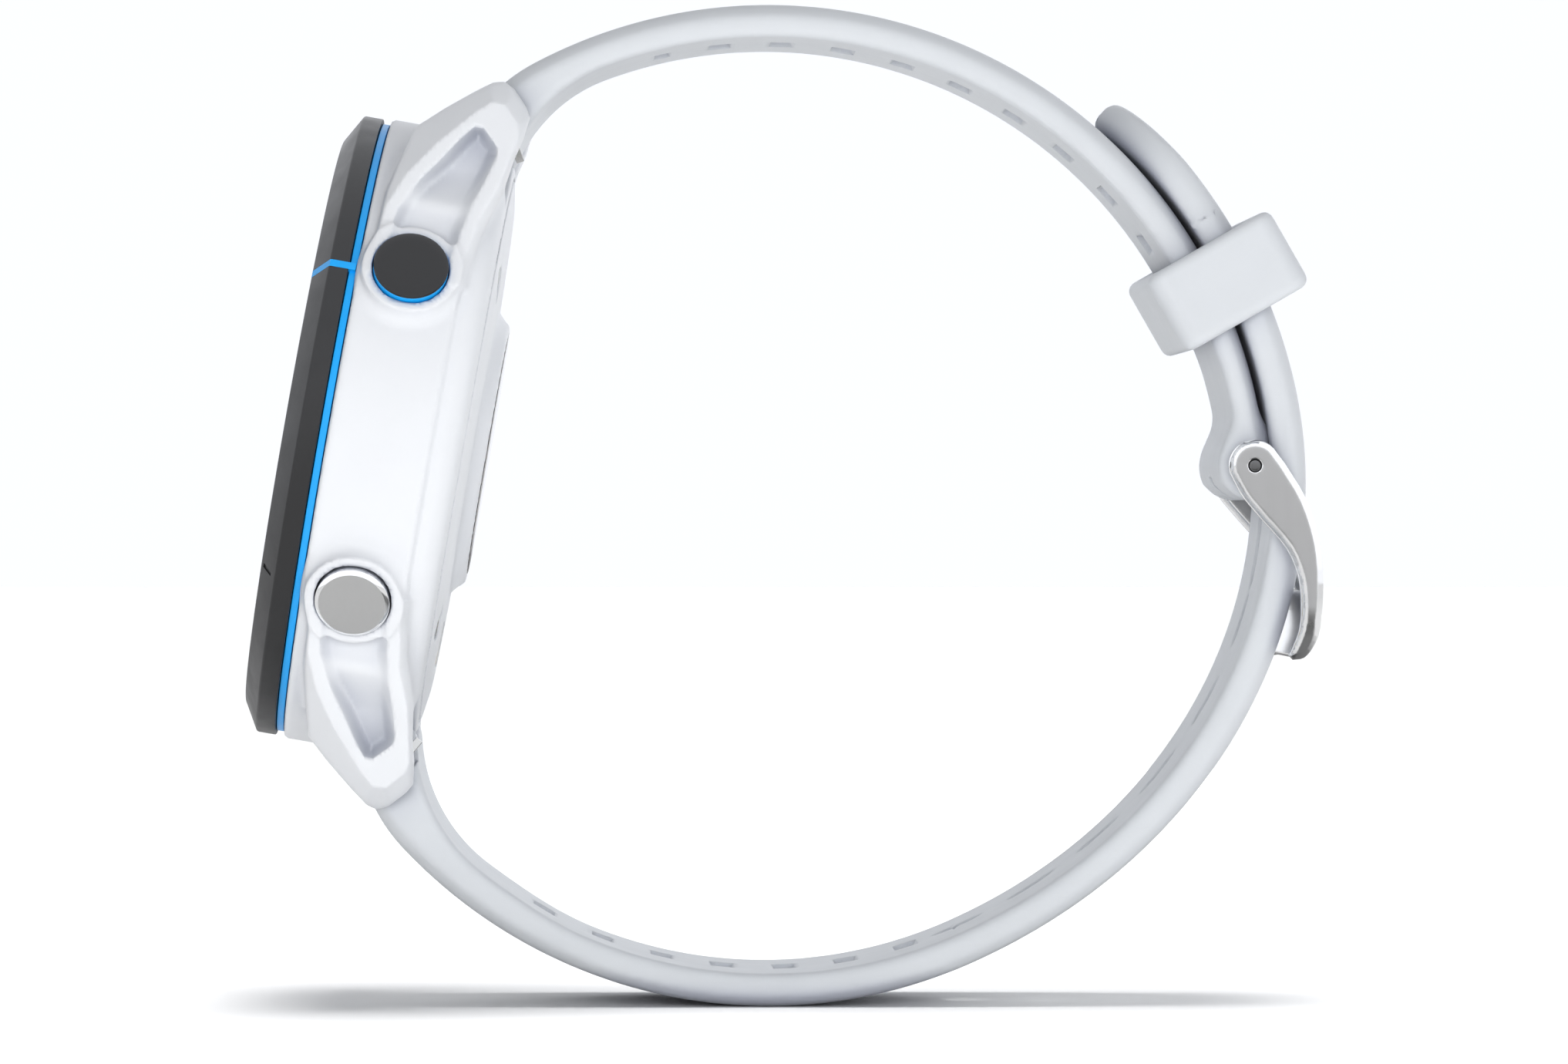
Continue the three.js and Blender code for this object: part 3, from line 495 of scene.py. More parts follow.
# %% The net over a field
def net(field, low, high, step):
    """Draws a net over the surface where a field is zero. Space is cut into cubes. Every cube edge that
    crosses the surface gives a crossing point and the surface's slope there, and joins its four cubes
    into a face. Each cube gets one point: the place nearest to the tangent planes of all its crossings
    (least squares, held lightly to their mean), which lands on corners where the surface has them.
    Only blocks of cubes near the surface are worked out finely."""
    low, high = np.asarray(low, float), np.asarray(high, float)
    block = 4
    counts = np.ceil((high - low) / step).astype(int) + 1
    blocks = -(-counts // block)
    centres = [low[i] + step * (block * np.arange(blocks[i]) + (block - 1) / 2) for i in range(3)]
    rough = in_chunks(field, np.stack(np.meshgrid(*centres, indexing="ij"), -1).reshape(-1, 3))
    rough = rough.reshape(blocks)

    def widen(array):
        for axis in range(3):
            array = np.repeat(array, block, axis=axis)
        return array[:counts[0], :counts[1], :counts[2]]

    values = widen(np.where(rough < 0, -1.0, 1.0))
    cells = np.argwhere(widen(np.abs(rough) < 1.35 * block * step))
    values[tuple(cells.T)] = in_chunks(field, low + step * cells)
    inside = values < 0
    nx, ny, nz = np.array(inside.shape) - 1
    full = sum(inside[a:nx + a, b:ny + b, c:nz + c].astype(np.int8) for a, b, c in np.ndindex(2, 2, 2))
    crossed = (full > 0) & (full < 8)
    number = np.full(crossed.shape, -1)
    number[crossed] = np.arange(crossed.sum())
    faces, crossings, owners = [], [], []
    for axis in range(3):
        one, two = (axis + 1) % 3, (axis + 2) % 3
        along = np.eye(3, dtype=int)[axis]
        first = np.take(inside, range(inside.shape[axis] - 1), axis)
        second = np.take(inside, range(1, inside.shape[axis]), axis)
        edges = np.argwhere(first != second)
        keep = (edges[:, one] > 0) & (edges[:, two] > 0)
        keep &= (edges[:, one] < crossed.shape[one]) & (edges[:, two] < crossed.shape[two])
        edges = edges[keep]
        here, there = values[tuple(edges.T)], values[tuple((edges + along).T)]
        crossings.append(low + step * (edges + (here / (here - there))[:, None] * along))
        quad = []
        for du, dv in ((-1, -1), (0, -1), (0, 0), (-1, 0)):
            shift = np.zeros(3, int)
            shift[one], shift[two] = du, dv
            quad.append(number[tuple((edges + shift).T)])
        quad = np.stack(quad, -1)
        owners.append(quad.copy())
        backwards = here > 0
        quad[backwards] = quad[backwards][:, ::-1]
        faces.append(quad)
    faces, crossings, owners = (np.concatenate(a) for a in (faces, crossings, owners))
    planes = unit(slope(field, crossings))
    size = crossed.sum()

    def gather(amount):
        return sum(np.bincount(owners[:, k], amount, size) for k in range(4))

    hits = gather(np.ones(len(crossings)))
    mean = np.stack([gather(crossings[:, i]) for i in range(3)], -1) / hits[:, None]
    offset = (planes * crossings).sum(1)
    matrix, target = np.zeros((size, 3, 3)), np.zeros((size, 3))
    for i in range(3):
        target[:, i] = gather(planes[:, i] * offset)
        for j in range(3):
            matrix[:, i, j] = gather(planes[:, i] * planes[:, j])
    target -= (matrix @ mean[:, :, None])[:, :, 0]
    move = np.linalg.solve(matrix + 0.05 * np.eye(3), target[:, :, None])[:, :, 0]
    points = mean + np.clip(move, -0.7 * step, 0.7 * step)
    normals = np.stack([gather(planes[:, i]) for i in range(3)], -1) / hits[:, None]
    smooth = np.linalg.norm(normals, axis=1) > 0.995
    gradient = slope(field, points[smooth])
    square = np.maximum((gradient ** 2).sum(1), 0.05)
    correction = in_chunks(field, points[smooth])[:, None] * gradient / square[:, None]
    points[smooth] -= np.clip(correction, -0.4 * step, 0.4 * step)
    normals[smooth] = gradient
    return points, faces, unit(normals)


def drawn(name, field, low, high, step, to_row=np.asarray):
    """A piece from a field; to_row turns the field's axes into the row frame."""
    points, faces, normals = net(field, low, high, step * (1.0))
    return add_mesh(name, to_row(points), faces, to_row(normals))


def drawn_like(node, name, field, margin, step, material, body):
    """A piece from a field in the row frame, in the box of the CAD node that it stands for."""
    low, high = row_box(node)
    place(drawn(name, field, low - margin, high + margin, step), material, body, node)


# %% [markdown]
# The bezel and the lens are turned pieces. The bezel is black polymer with a wide front chamfer. A
# blue finger of the accent ring crosses it beside the start button, so a slot is cut for it first,
# and four short engraved marks point at the other buttons.

# %% Bezel
BEZEL_RADIUS = BEZEL_HIGH[0]
BEZEL_FRONT, BEZEL_REAR = BEZEL_HIGH[2], BEZEL_LOW[2]
BEZEL_CORNER = BEZEL_REAR + 1.4
BEZEL_FLAT_RADIUS = BEZEL_RADIUS - 2.1
LENS_RADIUS = LENS_HIGH[1]
OPENING_RADIUS = LENS_RADIUS + 0.12
LEDGE_RADIUS, LEDGE_FRONT = 18.9, 12.9
bezel_profile = fillet(
    [(BEZEL_RADIUS, BEZEL_REAR), (BEZEL_RADIUS, BEZEL_CORNER), (BEZEL_FLAT_RADIUS, BEZEL_FRONT),
     (OPENING_RADIUS, BEZEL_FRONT), (OPENING_RADIUS, LEDGE_FRONT), (LEDGE_RADIUS, LEDGE_FRONT),
     (LEDGE_RADIUS, BEZEL_REAR)],
    [0.10, 0.14, 0.14, 0.08, 0, 0, 0.05])
bezel = turned("bezel_body", bezel_profile)


# %% [markdown]
# The slot for the blue finger and the engraved marks follow the bezel's section, so each cutter is a
# flat section with a width, set at the angle of its button. The angles are read from the joints, which
# keeps the marks in line with the buttons. A boolean is the plain way to cut them.

# %% Cutters that follow the bezel
def button_angle(name):
    """Angle of a button from 3 o'clock towards 12, from the axis of its joint."""
    inward = row_to_case(np.array(JOINTS[f"{name}_press"]["axis"], float))
    return math.atan2(-inward[1], -inward[0])


BUTTONS = {name: button_angle(name) for name in ("start", "back", "light", "up", "down")}
print("button angles:", {name: round(math.degrees(angle), 1) for name, angle in BUTTONS.items()})


CUTTER_PROUD = 0.5


def wedge_cutter(name, angle, width, depth, along):
    """A thin bar that follows the bezel's section from one side of it to the other: a band between
    the section line and the same line moved inwards by depth, given a width. Each point moves along
    the mean of its two edges' normals."""
    line = np.array(along, float)
    edge = np.diff(line, axis=0)
    normal = unit(np.stack([edge[:, 1], -edge[:, 0]], 1))
    normal = np.vstack([normal[:1], (normal[:-1] + normal[1:]) / 2, normal[-1:]])
    section = np.vstack([line + CUTTER_PROUD * normal, (line - depth * normal)[::-1]])
    return slab(name, section, angle, width)


def slab(name, section, angle, width):
    """A flat section (radius, height) given a width across the radius at that angle."""
    count = len(section)
    radial = np.array([math.cos(angle), math.sin(angle), 0.0])
    across = np.array([-math.sin(angle), math.cos(angle), 0.0])
    base = section[:, :1] * radial + section[:, 1:] * np.array([0, 0, 1.0])
    points = np.vstack([base - across * width / 2, base + across * width / 2])
    faces = [list(range(count))[::-1], list(range(count, 2 * count))]
    faces += [[i, (i + 1) % count, count + (i + 1) % count, count + i] for i in range(count)]
    return clean(add_mesh(name, case_to_row(points), faces), 20)


def cut(piece, *cutters):
    """Cuts closed pieces out of another and throws the cutters away."""
    for cutter in cutters:
        modifier = piece.modifiers.new("cut", "BOOLEAN")
        modifier.operation = "DIFFERENCE"
        modifier.solver = "EXACT"
        modifier.object = cutter
    bpy.context.view_layer.update()
    evaluated = piece.evaluated_get(bpy.context.evaluated_depsgraph_get())
    mesh = bpy.data.meshes.new_from_object(evaluated)
    piece.modifiers.clear()
    piece.data = mesh
    for cutter in cutters:
        bpy.data.objects.remove(cutter)
    return clean(piece, 25)


TICK_WIDTH, TICK_DEPTH = 0.56, 0.5
MARK_WIDTH, MARK_DEPTH = 0.34, 0.10
section_line = [(BEZEL_RADIUS, BEZEL_REAR - 0.2), (BEZEL_RADIUS, BEZEL_CORNER),
                (BEZEL_FLAT_RADIUS, BEZEL_FRONT), (BEZEL_FLAT_RADIUS - 0.15, BEZEL_FRONT)]
cutters = [wedge_cutter("slot", BUTTONS["start"], TICK_WIDTH + 0.03, TICK_DEPTH, section_line)]
chamfer_foot = np.array([BEZEL_RADIUS, BEZEL_CORNER])
chamfer_run = np.array([BEZEL_FLAT_RADIUS, BEZEL_FRONT]) - chamfer_foot
mark_line = [chamfer_foot + 0.30 * chamfer_run, chamfer_foot + 0.85 * chamfer_run]
for name in ("back", "light", "up", "down"):
    cutters.append(wedge_cutter(f"mark_{name}", BUTTONS[name], MARK_WIDTH, MARK_DEPTH, mark_line))
cut(bezel, *cutters)
place(bezel, bezel_polymer, "case_and_strap", "bezel")

# %% [markdown]
# The accent is one blue moulding on the real watch: a ring that shows between bezel and case, and a
# finger that fills the slot. The ring is turned, and the finger is a flat section with a width. The
# lens is turned as well, a disc with a soft front edge.

# %% Blue accent and lens
RING_RADIUS, RING_INNER = BEZEL_RADIUS - 0.35, 20.9
RING_REAR, RING_FRONT = 11.42, 11.94
ring_profile = fillet(
    [(RING_INNER, RING_REAR), (RING_RADIUS, RING_REAR), (RING_RADIUS, RING_FRONT),
     (RING_INNER, RING_FRONT)], [0, 0.06, 0.06, 0])
accent = turned("accent_band", ring_profile)
FINGER_ROOT, FINGER_REAR = BEZEL_RADIUS - TICK_DEPTH + 0.04, 11.5
FINGER_TIP = BEZEL_FLAT_RADIUS - 0.12
finger_side = [(FINGER_ROOT, FINGER_REAR), (BEZEL_RADIUS, FINGER_REAR), (BEZEL_RADIUS, BEZEL_CORNER),
               (BEZEL_FLAT_RADIUS, BEZEL_FRONT), (FINGER_TIP, BEZEL_FRONT), (FINGER_TIP, BEZEL_FRONT - 0.4),
               (FINGER_ROOT, BEZEL_CORNER - 0.3)]
finger = slab("accent_finger", np.array(finger_side), BUTTONS["start"], TICK_WIDTH)
place(accent, blue_polymer, "case_and_strap", "accent_ring")
place(finger, blue_polymer, "case_and_strap")

lens_profile = fillet(
    [(0, LENS_LOW[2]), (LENS_RADIUS, LENS_LOW[2]), (LENS_RADIUS, BEZEL_FRONT), (0, BEZEL_FRONT)],
    [0, 0.05, 0.22, 0])
place(turned("cover_lens", lens_profile), cover_glass, "case_and_strap", "lens")


# %% [markdown]
# The case shell is one moulding: a turned wall, four lugs with a flat raised rim round a scooped
# pocket, and a round boss at each button. It could be modelled face by face with subdivision, but the
# soft joins between such different shapes are hard to place by hand. As a field, each feature is one
# line, and the join radius is a number. First come its drawings: the wall's section (radius, height),
# and the outlines of a lug, its rim and its pocket, seen from the side (height, distance along y).

# %% Drawings of the case shell
SHELL_RADIUS = 23.4
SHELL_TOP = case_box("case_shell")[1][2]
CREASE = 3.8
CORE_RADIUS = 21.2
BUTTON_HEIGHT = float(middle(case_box("start_button"))[2])
BOSS_RADIUS, BOSS_FACE = 3.46, 24.25
BORE_RADIUS, BORE_FLOOR = 2.82, 22.75
LUG_INNER = 11.3
NEST_RADIUS, NEST_TOP, NEST_START = 21.45, 6.5, 15.0
BAR_REACH, BAR_HEIGHT, BAR_HOLE_RADIUS, BAR_HOLE_END = 24.6, 3.0, 0.6, 13.1
shell_profile = fillet(
    [(SHELL_RADIUS, SHELL_TOP), (SHELL_RADIUS, CREASE + 0.15), (SHELL_RADIUS - 0.34, CREASE - 0.12),
     (22.85, 2.9), (22.4, 2.25), (21.9, 1.85), (20.7, 1.6), (20.7, 2.9), (19.3, 2.9), (19.3, 3.9),
     (20.6, 3.9), (20.6, SHELL_TOP)],
    [0.4, 0.05, 0.05, 0.8, 0.8, 0.8, 0.15, 0, 0, 0, 0, 0.1])
lug_side = [(9.3, 22.6), (7.4, 24.35), (5.45, 25.96), (4.2, 26.9), (3.4, 27.15), (2.6, 26.7),
            (1.5, 25.5), (1.1, 24.8), (1.3, 23.2), (1.7, 21.6), (2.1, 19.0), (3.0, 15.5),
            (3.4, 11.5), (10.6, 11.5), (10.4, 17.5)]
rim_side = [(10.45, 11.6), (10.4, 14.5), (10.2, 16.4), (9.15, 19.0), (7.4, 21.6), (5.0, 24.4),
            (3.95, 25.35), (3.0, 25.3), (1.85, 24.05), (1.6, 23.1), (1.95, 21.2), (2.4, 19.25),
            (3.45, 16.5), (3.8, 14.0), (3.9, 11.6)]
pocket_side = [(9.95, 11.8), (9.8, 13.6), (9.3, 16.35), (8.15, 18.7), (6.85, 20.6), (5.6, 22.5),
               (4.9, 23.35), (4.25, 23.35), (3.05, 22.15), (2.9, 21.5), (3.25, 20.1), (4.0, 17.7),
               (4.5, 15.4), (4.6, 13.4), (4.65, 11.8)]
LUG_ROOT, LUG_TIP = np.array([20.3, 11.9]), np.array([13.8, 27.4])
LUG_RUN = (LUG_TIP - LUG_ROOT) / np.linalg.norm(LUG_TIP - LUG_ROOT)
RIM_PROUD, RIM_SLOPE = 0.45, 1.35
BOWL_EDGE, BOWL_DEPTH, TIP_EXTRA, SADDLE_RISE = 0.95, 1.1, 1.0, 0.4
print("shell radius", SHELL_RADIUS, "mm, top at", round(SHELL_TOP, 2), "mm")
# %% [markdown]
# The lugs are mirror images of each other, so |x| and |y| draw all four at once. Cuts are fields too:
# the shape is kept where it is outside the cut, which is a maximum with the cut's negative.

# %% Case shell
def shell_field(p):
    """The wall is a turned profile. A lug is its side outline, limited by a slanted plane that falls
    away beyond the rim outline; a bowl is scooped out inside the rim, deeper towards the tip; bosses
    are short cylinders with bores in them."""
    x, y, z = p.T
    r = np.hypot(x, y)
    ax, ay = np.abs(x), np.abs(y)
    wall = polygon_field(r, z, shell_profile)
    side = (ax - LUG_ROOT[0]) * LUG_RUN[1] - (ay - LUG_ROOT[1]) * LUG_RUN[0] - RIM_PROUD
    past_rim = soft_max(polygon_field(z, ay, rim_side), 0.0 * r, 0.08)
    fall = (side + RIM_SLOPE * past_rim) / math.hypot(1, RIM_SLOPE)
    lug = all_of(0.4, polygon_field(z, ay, lug_side), fall, LUG_INNER - ax, CORE_RADIUS - r)
    from_edge = -polygon_field(z, ay, pocket_side)
    bowl = np.sin(np.clip(from_edge / BOWL_EDGE, 0, 1) * np.pi / 2)
    depth = BOWL_DEPTH + TIP_EXTRA * smooth_step(ay, 17.2, 20.0)
    depth -= SADDLE_RISE * np.exp(-((ay - 17.0) / 0.9) ** 2)
    pocket = all_of(0.1, -from_edge, -0.5 * (side + depth * bowl), CORE_RADIUS - r)
    shape = soft_min(wall, lug, 0.6)
    shape = without(shape, pocket, 0.1)
    for angle in BUTTONS.values():
        along = x * math.cos(angle) + y * math.sin(angle)
        off = np.hypot(y * math.cos(angle) - x * math.sin(angle), z - BUTTON_HEIGHT)
        boss = all_of(0.16, off - BOSS_RADIUS, along - BOSS_FACE, CORE_RADIUS - along)
        shape = soft_min(shape, boss, 1.1)
        shape = without(shape, all_of(0.1, off - BORE_RADIUS, BORE_FLOOR - along), 0.12)
    nest = all_of(0.2, ax - LUG_INNER, NEST_START - ay, z - NEST_TOP, NEST_RADIUS - r)
    shape = without(shape, nest, 0.25)
    bar_hole = np.hypot(ay - BAR_REACH, z - BAR_HEIGHT) - BAR_HOLE_RADIUS
    return without(shape, all_of(0.1, bar_hole, ax - BAR_HOLE_END), 0.1)


shell = drawn("case_body", shell_field, (-27, -29, 0.4), (27, 29, 12.2), 0.25, case_to_row)
place(shell, white_polymer, "case_and_strap", "case_shell")

# %% [markdown]
# The back cover is a shallow turned disc with a hump that carries the sensor window. Four screw
# recesses and the window of the charging port break its round shape, so it is a field too. The glass
# window itself is plainly turned.

# %% Back cover
SCREWS = [row_to_case(middle(row_box(f"back_screw_{i}"))) for i in (1, 2, 3, 4)]
RECESS_RADIUS, RECESS_FLOOR = 1.35, 1.85
PORT = case_box("charge_connector")
PORT_GAP = 0.08
cover_profile = fillet(
    [(8.1, 2.55), (20.4, 2.55), (20.4, 1.56), (18.2, 1.22), (13.0, 1.08), (10.7, 1.08), (10.1, 0.55),
     (9.7, 0.08), (9.2, 0.05), (9.2, 0.95), (8.1, 0.95)],
    [0, 0, 0.2, 0.5, 0.8, 0.5, 0.3, 0.3, 0.05, 0, 0], 4)


def cover_field(p):
    """A turned disc with the sensor hump, less four screw recesses and the port's window."""
    x, y, z = p.T
    shape = polygon_field(np.hypot(x, y), z, cover_profile)
    for screw in SCREWS:
        off = np.hypot(x - screw[0], y - screw[1])
        shape = without(shape, all_of(0.1, off - RECESS_RADIUS, z - RECESS_FLOOR), 0.12)
    centre, half = middle(PORT), (PORT[1] - PORT[0]) / 2 + PORT_GAP
    port = np.maximum(np.abs(x - centre[0]) - half[0], np.abs(y - centre[1]) - half[1])
    return without(shape, port, 0.15)


cover = drawn("rear_cover", cover_field, (-21, -21, -0.4), (21, 21, 3.0), 0.24, case_to_row)
place(cover, white_polymer, "case_and_strap", "back_cover")
WINDOW_RADIUS, WINDOW_THICK = 9.1, 0.85
window_profile = fillet([(0, WINDOW_THICK), (0, 0), (WINDOW_RADIUS, 0), (WINDOW_RADIUS, WINDOW_THICK)],
                        [0, 0, 0.18, 0.05])
place(turned("rear_window", window_profile, 160), sensor_glass, "case_and_strap", "sensor_window")


# %% [markdown]
# The buttons are turned about their own press axis. The start button is glossy black with a blue
# collar under its cap, and the others are steel with a brushed face and a polished rim.

# %% Buttons
CAP_RADIUS, CAP_FACE, CAP_BASE = 2.72, 25.0, 23.5
CAP_CHAMFER, CAP_DOME = 0.28, 0.05
COLLAR_TOP, COLLAR_HOLE = 24.64, 1.7


def cap_profile(base, chamfer_down):
    """Flat-faced cap with a bright chamfer and a face crowned by the square of the radius."""
    rim, shoulder = CAP_RADIUS - CAP_CHAMFER, CAP_FACE - CAP_DOME - chamfer_down
    face = [(rim * t, CAP_FACE - CAP_DOME * t * t) for t in np.linspace(0, 1, 6)]
    edge = [(CAP_RADIUS - 0.03, shoulder), (CAP_RADIUS, shoulder - 0.06), (CAP_RADIUS, base), (0.0, base)]
    return face + edge


def button_piece(name, profile, axis, material, body, node):
    """A piece turned about a button's axis; the profile is (radius, distance from the case axis)."""
    piece = turned(name, profile, 96, (0, 0, BUTTON_HEIGHT), axis, (0, 0, 1), 25)
    place(piece, material, body, node)


for name, angle in BUTTONS.items():
    axis = np.array([math.cos(angle), math.sin(angle), 0.0])
    if name == "start":
        button_piece("start_cap", cap_profile(COLLAR_TOP + 0.02, 0.12), axis, gloss_black, name,
                     "start_button")
        collar = fillet([(CAP_RADIUS, CAP_BASE), (CAP_RADIUS, COLLAR_TOP), (COLLAR_HOLE, COLLAR_TOP),
                         (COLLAR_HOLE, CAP_BASE)], [0.05, 0.05, 0, 0])
        button_piece("start_collar", collar, axis, blue_polymer, name, "start_button_collar")
        continue
    steel = brushed_steel(f"button_steel_{name}", BUTTON_GREY, (1.0, 1.0, 0.04), 0.36,
                          tuple(case_to_row(axis)), BRIGHT_STEEL, 0.05)
    button_piece(f"{name}_cap", cap_profile(CAP_BASE, 0.2), axis, steel, name, f"{name}_button")


# %% [markdown]
# The strap is silicone, moulded flat and bent into a loop. Its section is a band with soft edges: a
# wide chamfer on the outer side, and shallow grooves across the inner side that let sweat out. Angles
# round the loop's centre say where along the strap a point is, so the field is written with them.

# %% Strap: shared shapes
HALF_WIDTH = 10.9
CHAMFER_HIGH, CHAMFER_OUT, CHAMFER_UP = 0.85, 0.547, 0.837
UPPER_IN, UPPER_OUT = 34.38, 36.83
LOWER_IN, LOWER_OUT = 34.5, 36.97
FAR = 9.0
TAIL_OUT, TAIL_THICK = 39.85, 2.6
GROOVE_PITCH, GROOVE_LENGTH, GROOVE_DEPTH, GROOVE_REACH = 4.6, 1.6, 0.4, 3.0
HOLE_PITCH, HOLE_LENGTH, HOLE_WIDTH = 6.9, 4.2, 2.2
TONGUE_HOLE, HOLE_RADIUS, FIRST_HOLE, LAST_HOLE = -3.2, 38.0, -6, 5
TAIL_TIP, TAIL_RADIUS = math.radians(49.6), 38.5


def round_loop(p):
    """Distance from the loop's centre and angle about it, in degrees, for row-frame points."""
    dx, dz = p[:, 0] - LOOP_CENTRE[0], p[:, 2] - LOOP_CENTRE[2]
    return np.hypot(dx, dz), np.degrees(np.arctan2(dz, dx))


def edge_shape(band, outer, r, y):
    """Gives a band its sides and its wide outer chamfer, which is a slanted plane: so much of the way
    out plus so much of the way up."""
    sides = np.abs(y) - HALF_WIDTH
    chamfer = sides * CHAMFER_OUT + (r - outer + CHAMFER_HIGH) * CHAMFER_UP
    return soft_max(soft_max(band, sides, 0.9), chamfer, 0.5)


def grooves(r, angle, y, inner):
    """Shallow troughs across the inner side, one every pitch along it."""
    along = np.radians(angle) * inner
    place_in_pitch = np.abs(np.mod(along, GROOVE_PITCH) - GROOVE_PITCH / 2) - GROOVE_LENGTH / 2
    return all_of(0.3, place_in_pitch, np.abs(y) - GROOVE_REACH, r - inner - GROOVE_DEPTH)


LEVER_MIDDLE, LEVER_HALF, BAR_ROOM, WALL_ROOM, ROOM_FOOT = 10.0, 2.6, 0.95, 0.35, -3.0
lever_room = [(3.9, 25.3), (3.9, 23.6), (0.5, 19.5), (-0.6, 20.4), (2.2, 24.9)]


def case_room(p, end):
    """The room a strap's end leaves for the case wall, the spring bar and the release lever."""
    x, y, z = row_to_case(p).T
    lever_side = polygon_field(z, end * y, lever_room)
    lever = all_of(0.3, np.abs(x - LEVER_MIDDLE) - LEVER_HALF, lever_side)
    bar = np.hypot(end * y - BAR_REACH, z - BAR_HEIGHT) - BAR_ROOM
    wall = np.maximum(np.hypot(x, y) - NEST_RADIUS - WALL_ROOM, ROOM_FOOT - z)
    return np.minimum(np.minimum(wall, lever), bar)


# %% [markdown]
# The buckle-side strap is a band of constant thickness. Near the buckle it narrows to a waist and
# swells again into an eye round the pin, slit in the middle for the tongue. Near the case it dives
# between the lugs. Inner and outer radius are functions of the angle, and that is its whole shape.

# %% Buckle-side strap
WAIST = 0.38
EYE_RADIUS, EYE_HOLE, SLIT_RADIUS, SLIT_HALF = 2.5, 0.75, 1.9, 1.35


def upper_field(p):
    """A band of constant thickness, with a waist and an eye round the buckle pin that is slit for the
    tongue. Past an angle, both radii fall off as its square, which is the dive between the lugs."""
    y = p[:, 1]
    r, angle = round_loop(p)
    waist = WAIST * smooth_step(angle, 30, 16)
    inner = UPPER_IN + np.where(angle > 5, waist, WAIST) - 0.0105 * np.maximum(angle - 110.5, 0) ** 2
    outer = UPPER_OUT - 0.0104 * np.maximum(angle - 118.0, 0) ** 2
    band = all_of(0.3, r - outer, inner - r, (5.0 - angle) * 0.6)
    band = soft_max(band, (angle - 127.8) * 0.58, 1.2)
    eye_off = np.hypot(p[:, 0] - PIVOT[0], p[:, 2] - PIVOT[2])
    eye = soft_max(eye_off - EYE_RADIUS, r - UPPER_OUT, 0.5)
    shape = edge_shape(soft_min(band, eye, 2.2), outer, r, y)
    cut_in = all_of(0.2, grooves(r, angle, y, UPPER_IN), 24.0 - angle, angle - 104.0)
    shape = without(shape, cut_in, 0.2)
    reach = (p[:, 2] - PIVOT[2]) * 0.94 - (PIVOT[0] - p[:, 0]) * -0.35
    slit_side = np.minimum(eye_off - SLIT_RADIUS, np.maximum(reach, -eye_off + 0.1))
    slit = all_of(0.2, np.abs(y) - SLIT_HALF, slit_side)
    shape = without(without(shape, slit, 0.25), eye_off - EYE_HOLE, 0.1)
    return without(shape, case_room(p, 1), 0.25)


drawn_like("strap_upper", "strap_buckle_side", upper_field, 0.8, 0.30, silicone, "case_and_strap")


# %% [markdown]
# The tail strap starts under the case like the other one, then climbs over it: its radius grows along
# an S curve until it lies outside. A row of slots takes the tongue, and the end is round.

# %% Tail-side strap
def lower_field(p):
    """A band whose radius climbs from the lower arc to outside the other strap, ending in a round
    tail, with holes for the tongue through its middle."""
    y = p[:, 1]
    r, angle = round_loop(p)
    angle = np.where(angle > 120, angle - 360, angle)
    climb = smooth_step(angle, -66, 14)
    outer = LOWER_OUT + (TAIL_OUT - LOWER_OUT) * climb - 0.0114 * np.maximum(-137.0 - angle, 0) ** 2
    inner = LOWER_IN + (TAIL_OUT - TAIL_THICK - LOWER_IN) * climb
    inner -= 0.25 * smooth_step(-angle, 112, 126) + 0.0092 * np.maximum(-128.0 - angle, 0) ** 2
    run = (np.radians(angle) - TAIL_TIP) * TAIL_RADIUS + HALF_WIDTH
    tail_end = np.where(run > 0, np.hypot(np.maximum(run, 0), y) - HALF_WIDTH, run - HALF_WIDTH)
    band = soft_max(all_of(0.3, r - outer, inner - r), (-148.0 - angle) * 0.58, 1.2)
    shape = edge_shape(band, outer, r, y)
    shape = soft_max(shape, tail_end, 1.3)
    cut_in = all_of(0.2, grooves(r, angle, y, inner), angle + 66.0, -125.0 - angle)
    shape = without(shape, cut_in, 0.2)
    along = np.radians(angle - TONGUE_HOLE) * HOLE_RADIUS
    number = np.round(along / HOLE_PITCH)
    off = np.abs(along - HOLE_PITCH * number) - (HOLE_LENGTH - HOLE_WIDTH) / 2
    hole = np.hypot(np.maximum(off, 0), y) - HOLE_WIDTH / 2
    no_hole = (number == 0) | (number < FIRST_HOLE) | (number > LAST_HOLE)
    hole = np.where(no_hole, FAR, hole)
    tongue_slot = np.hypot(np.maximum(np.abs(along + 0.4) - 2.6, 0), y) - SLIT_HALF
    shape = without(without(shape, hole, 0.35), tongue_slot, 0.35)
    return without(shape, case_room(p, -1), 0.25)


drawn_like("strap_lower", "strap_tail_side", lower_field, 0.8, 0.32, silicone, "case_and_strap")

# %% [markdown]
# The keeper is a short tube of the same silicone that holds the tail down. A box with bevelled edges
# would be close, but the real one is soft at every edge and a little tilted to the strap, so it is
# the soft maximum of a rounded rectangle and its two cut ends.

# %% Keeper
KEEPER_HALF = np.array([10.5, 25.8, 6.3]) / 2
OPENING_HALF = (3.7, 11.25)
KEEPER_TILT = math.radians(29.8)
KEEPER_CENTRE = middle(row_box("keeper"))


def rounded_box_field(u, v, half_u, half_v, radius):
    """Signed distance to a rectangle with round corners."""
    du, dv = np.abs(u) - half_u + radius, np.abs(v) - half_v + radius
    outside = np.hypot(np.maximum(du, 0), np.maximum(dv, 0))
    return outside + np.minimum(np.maximum(du, dv), 0) - radius


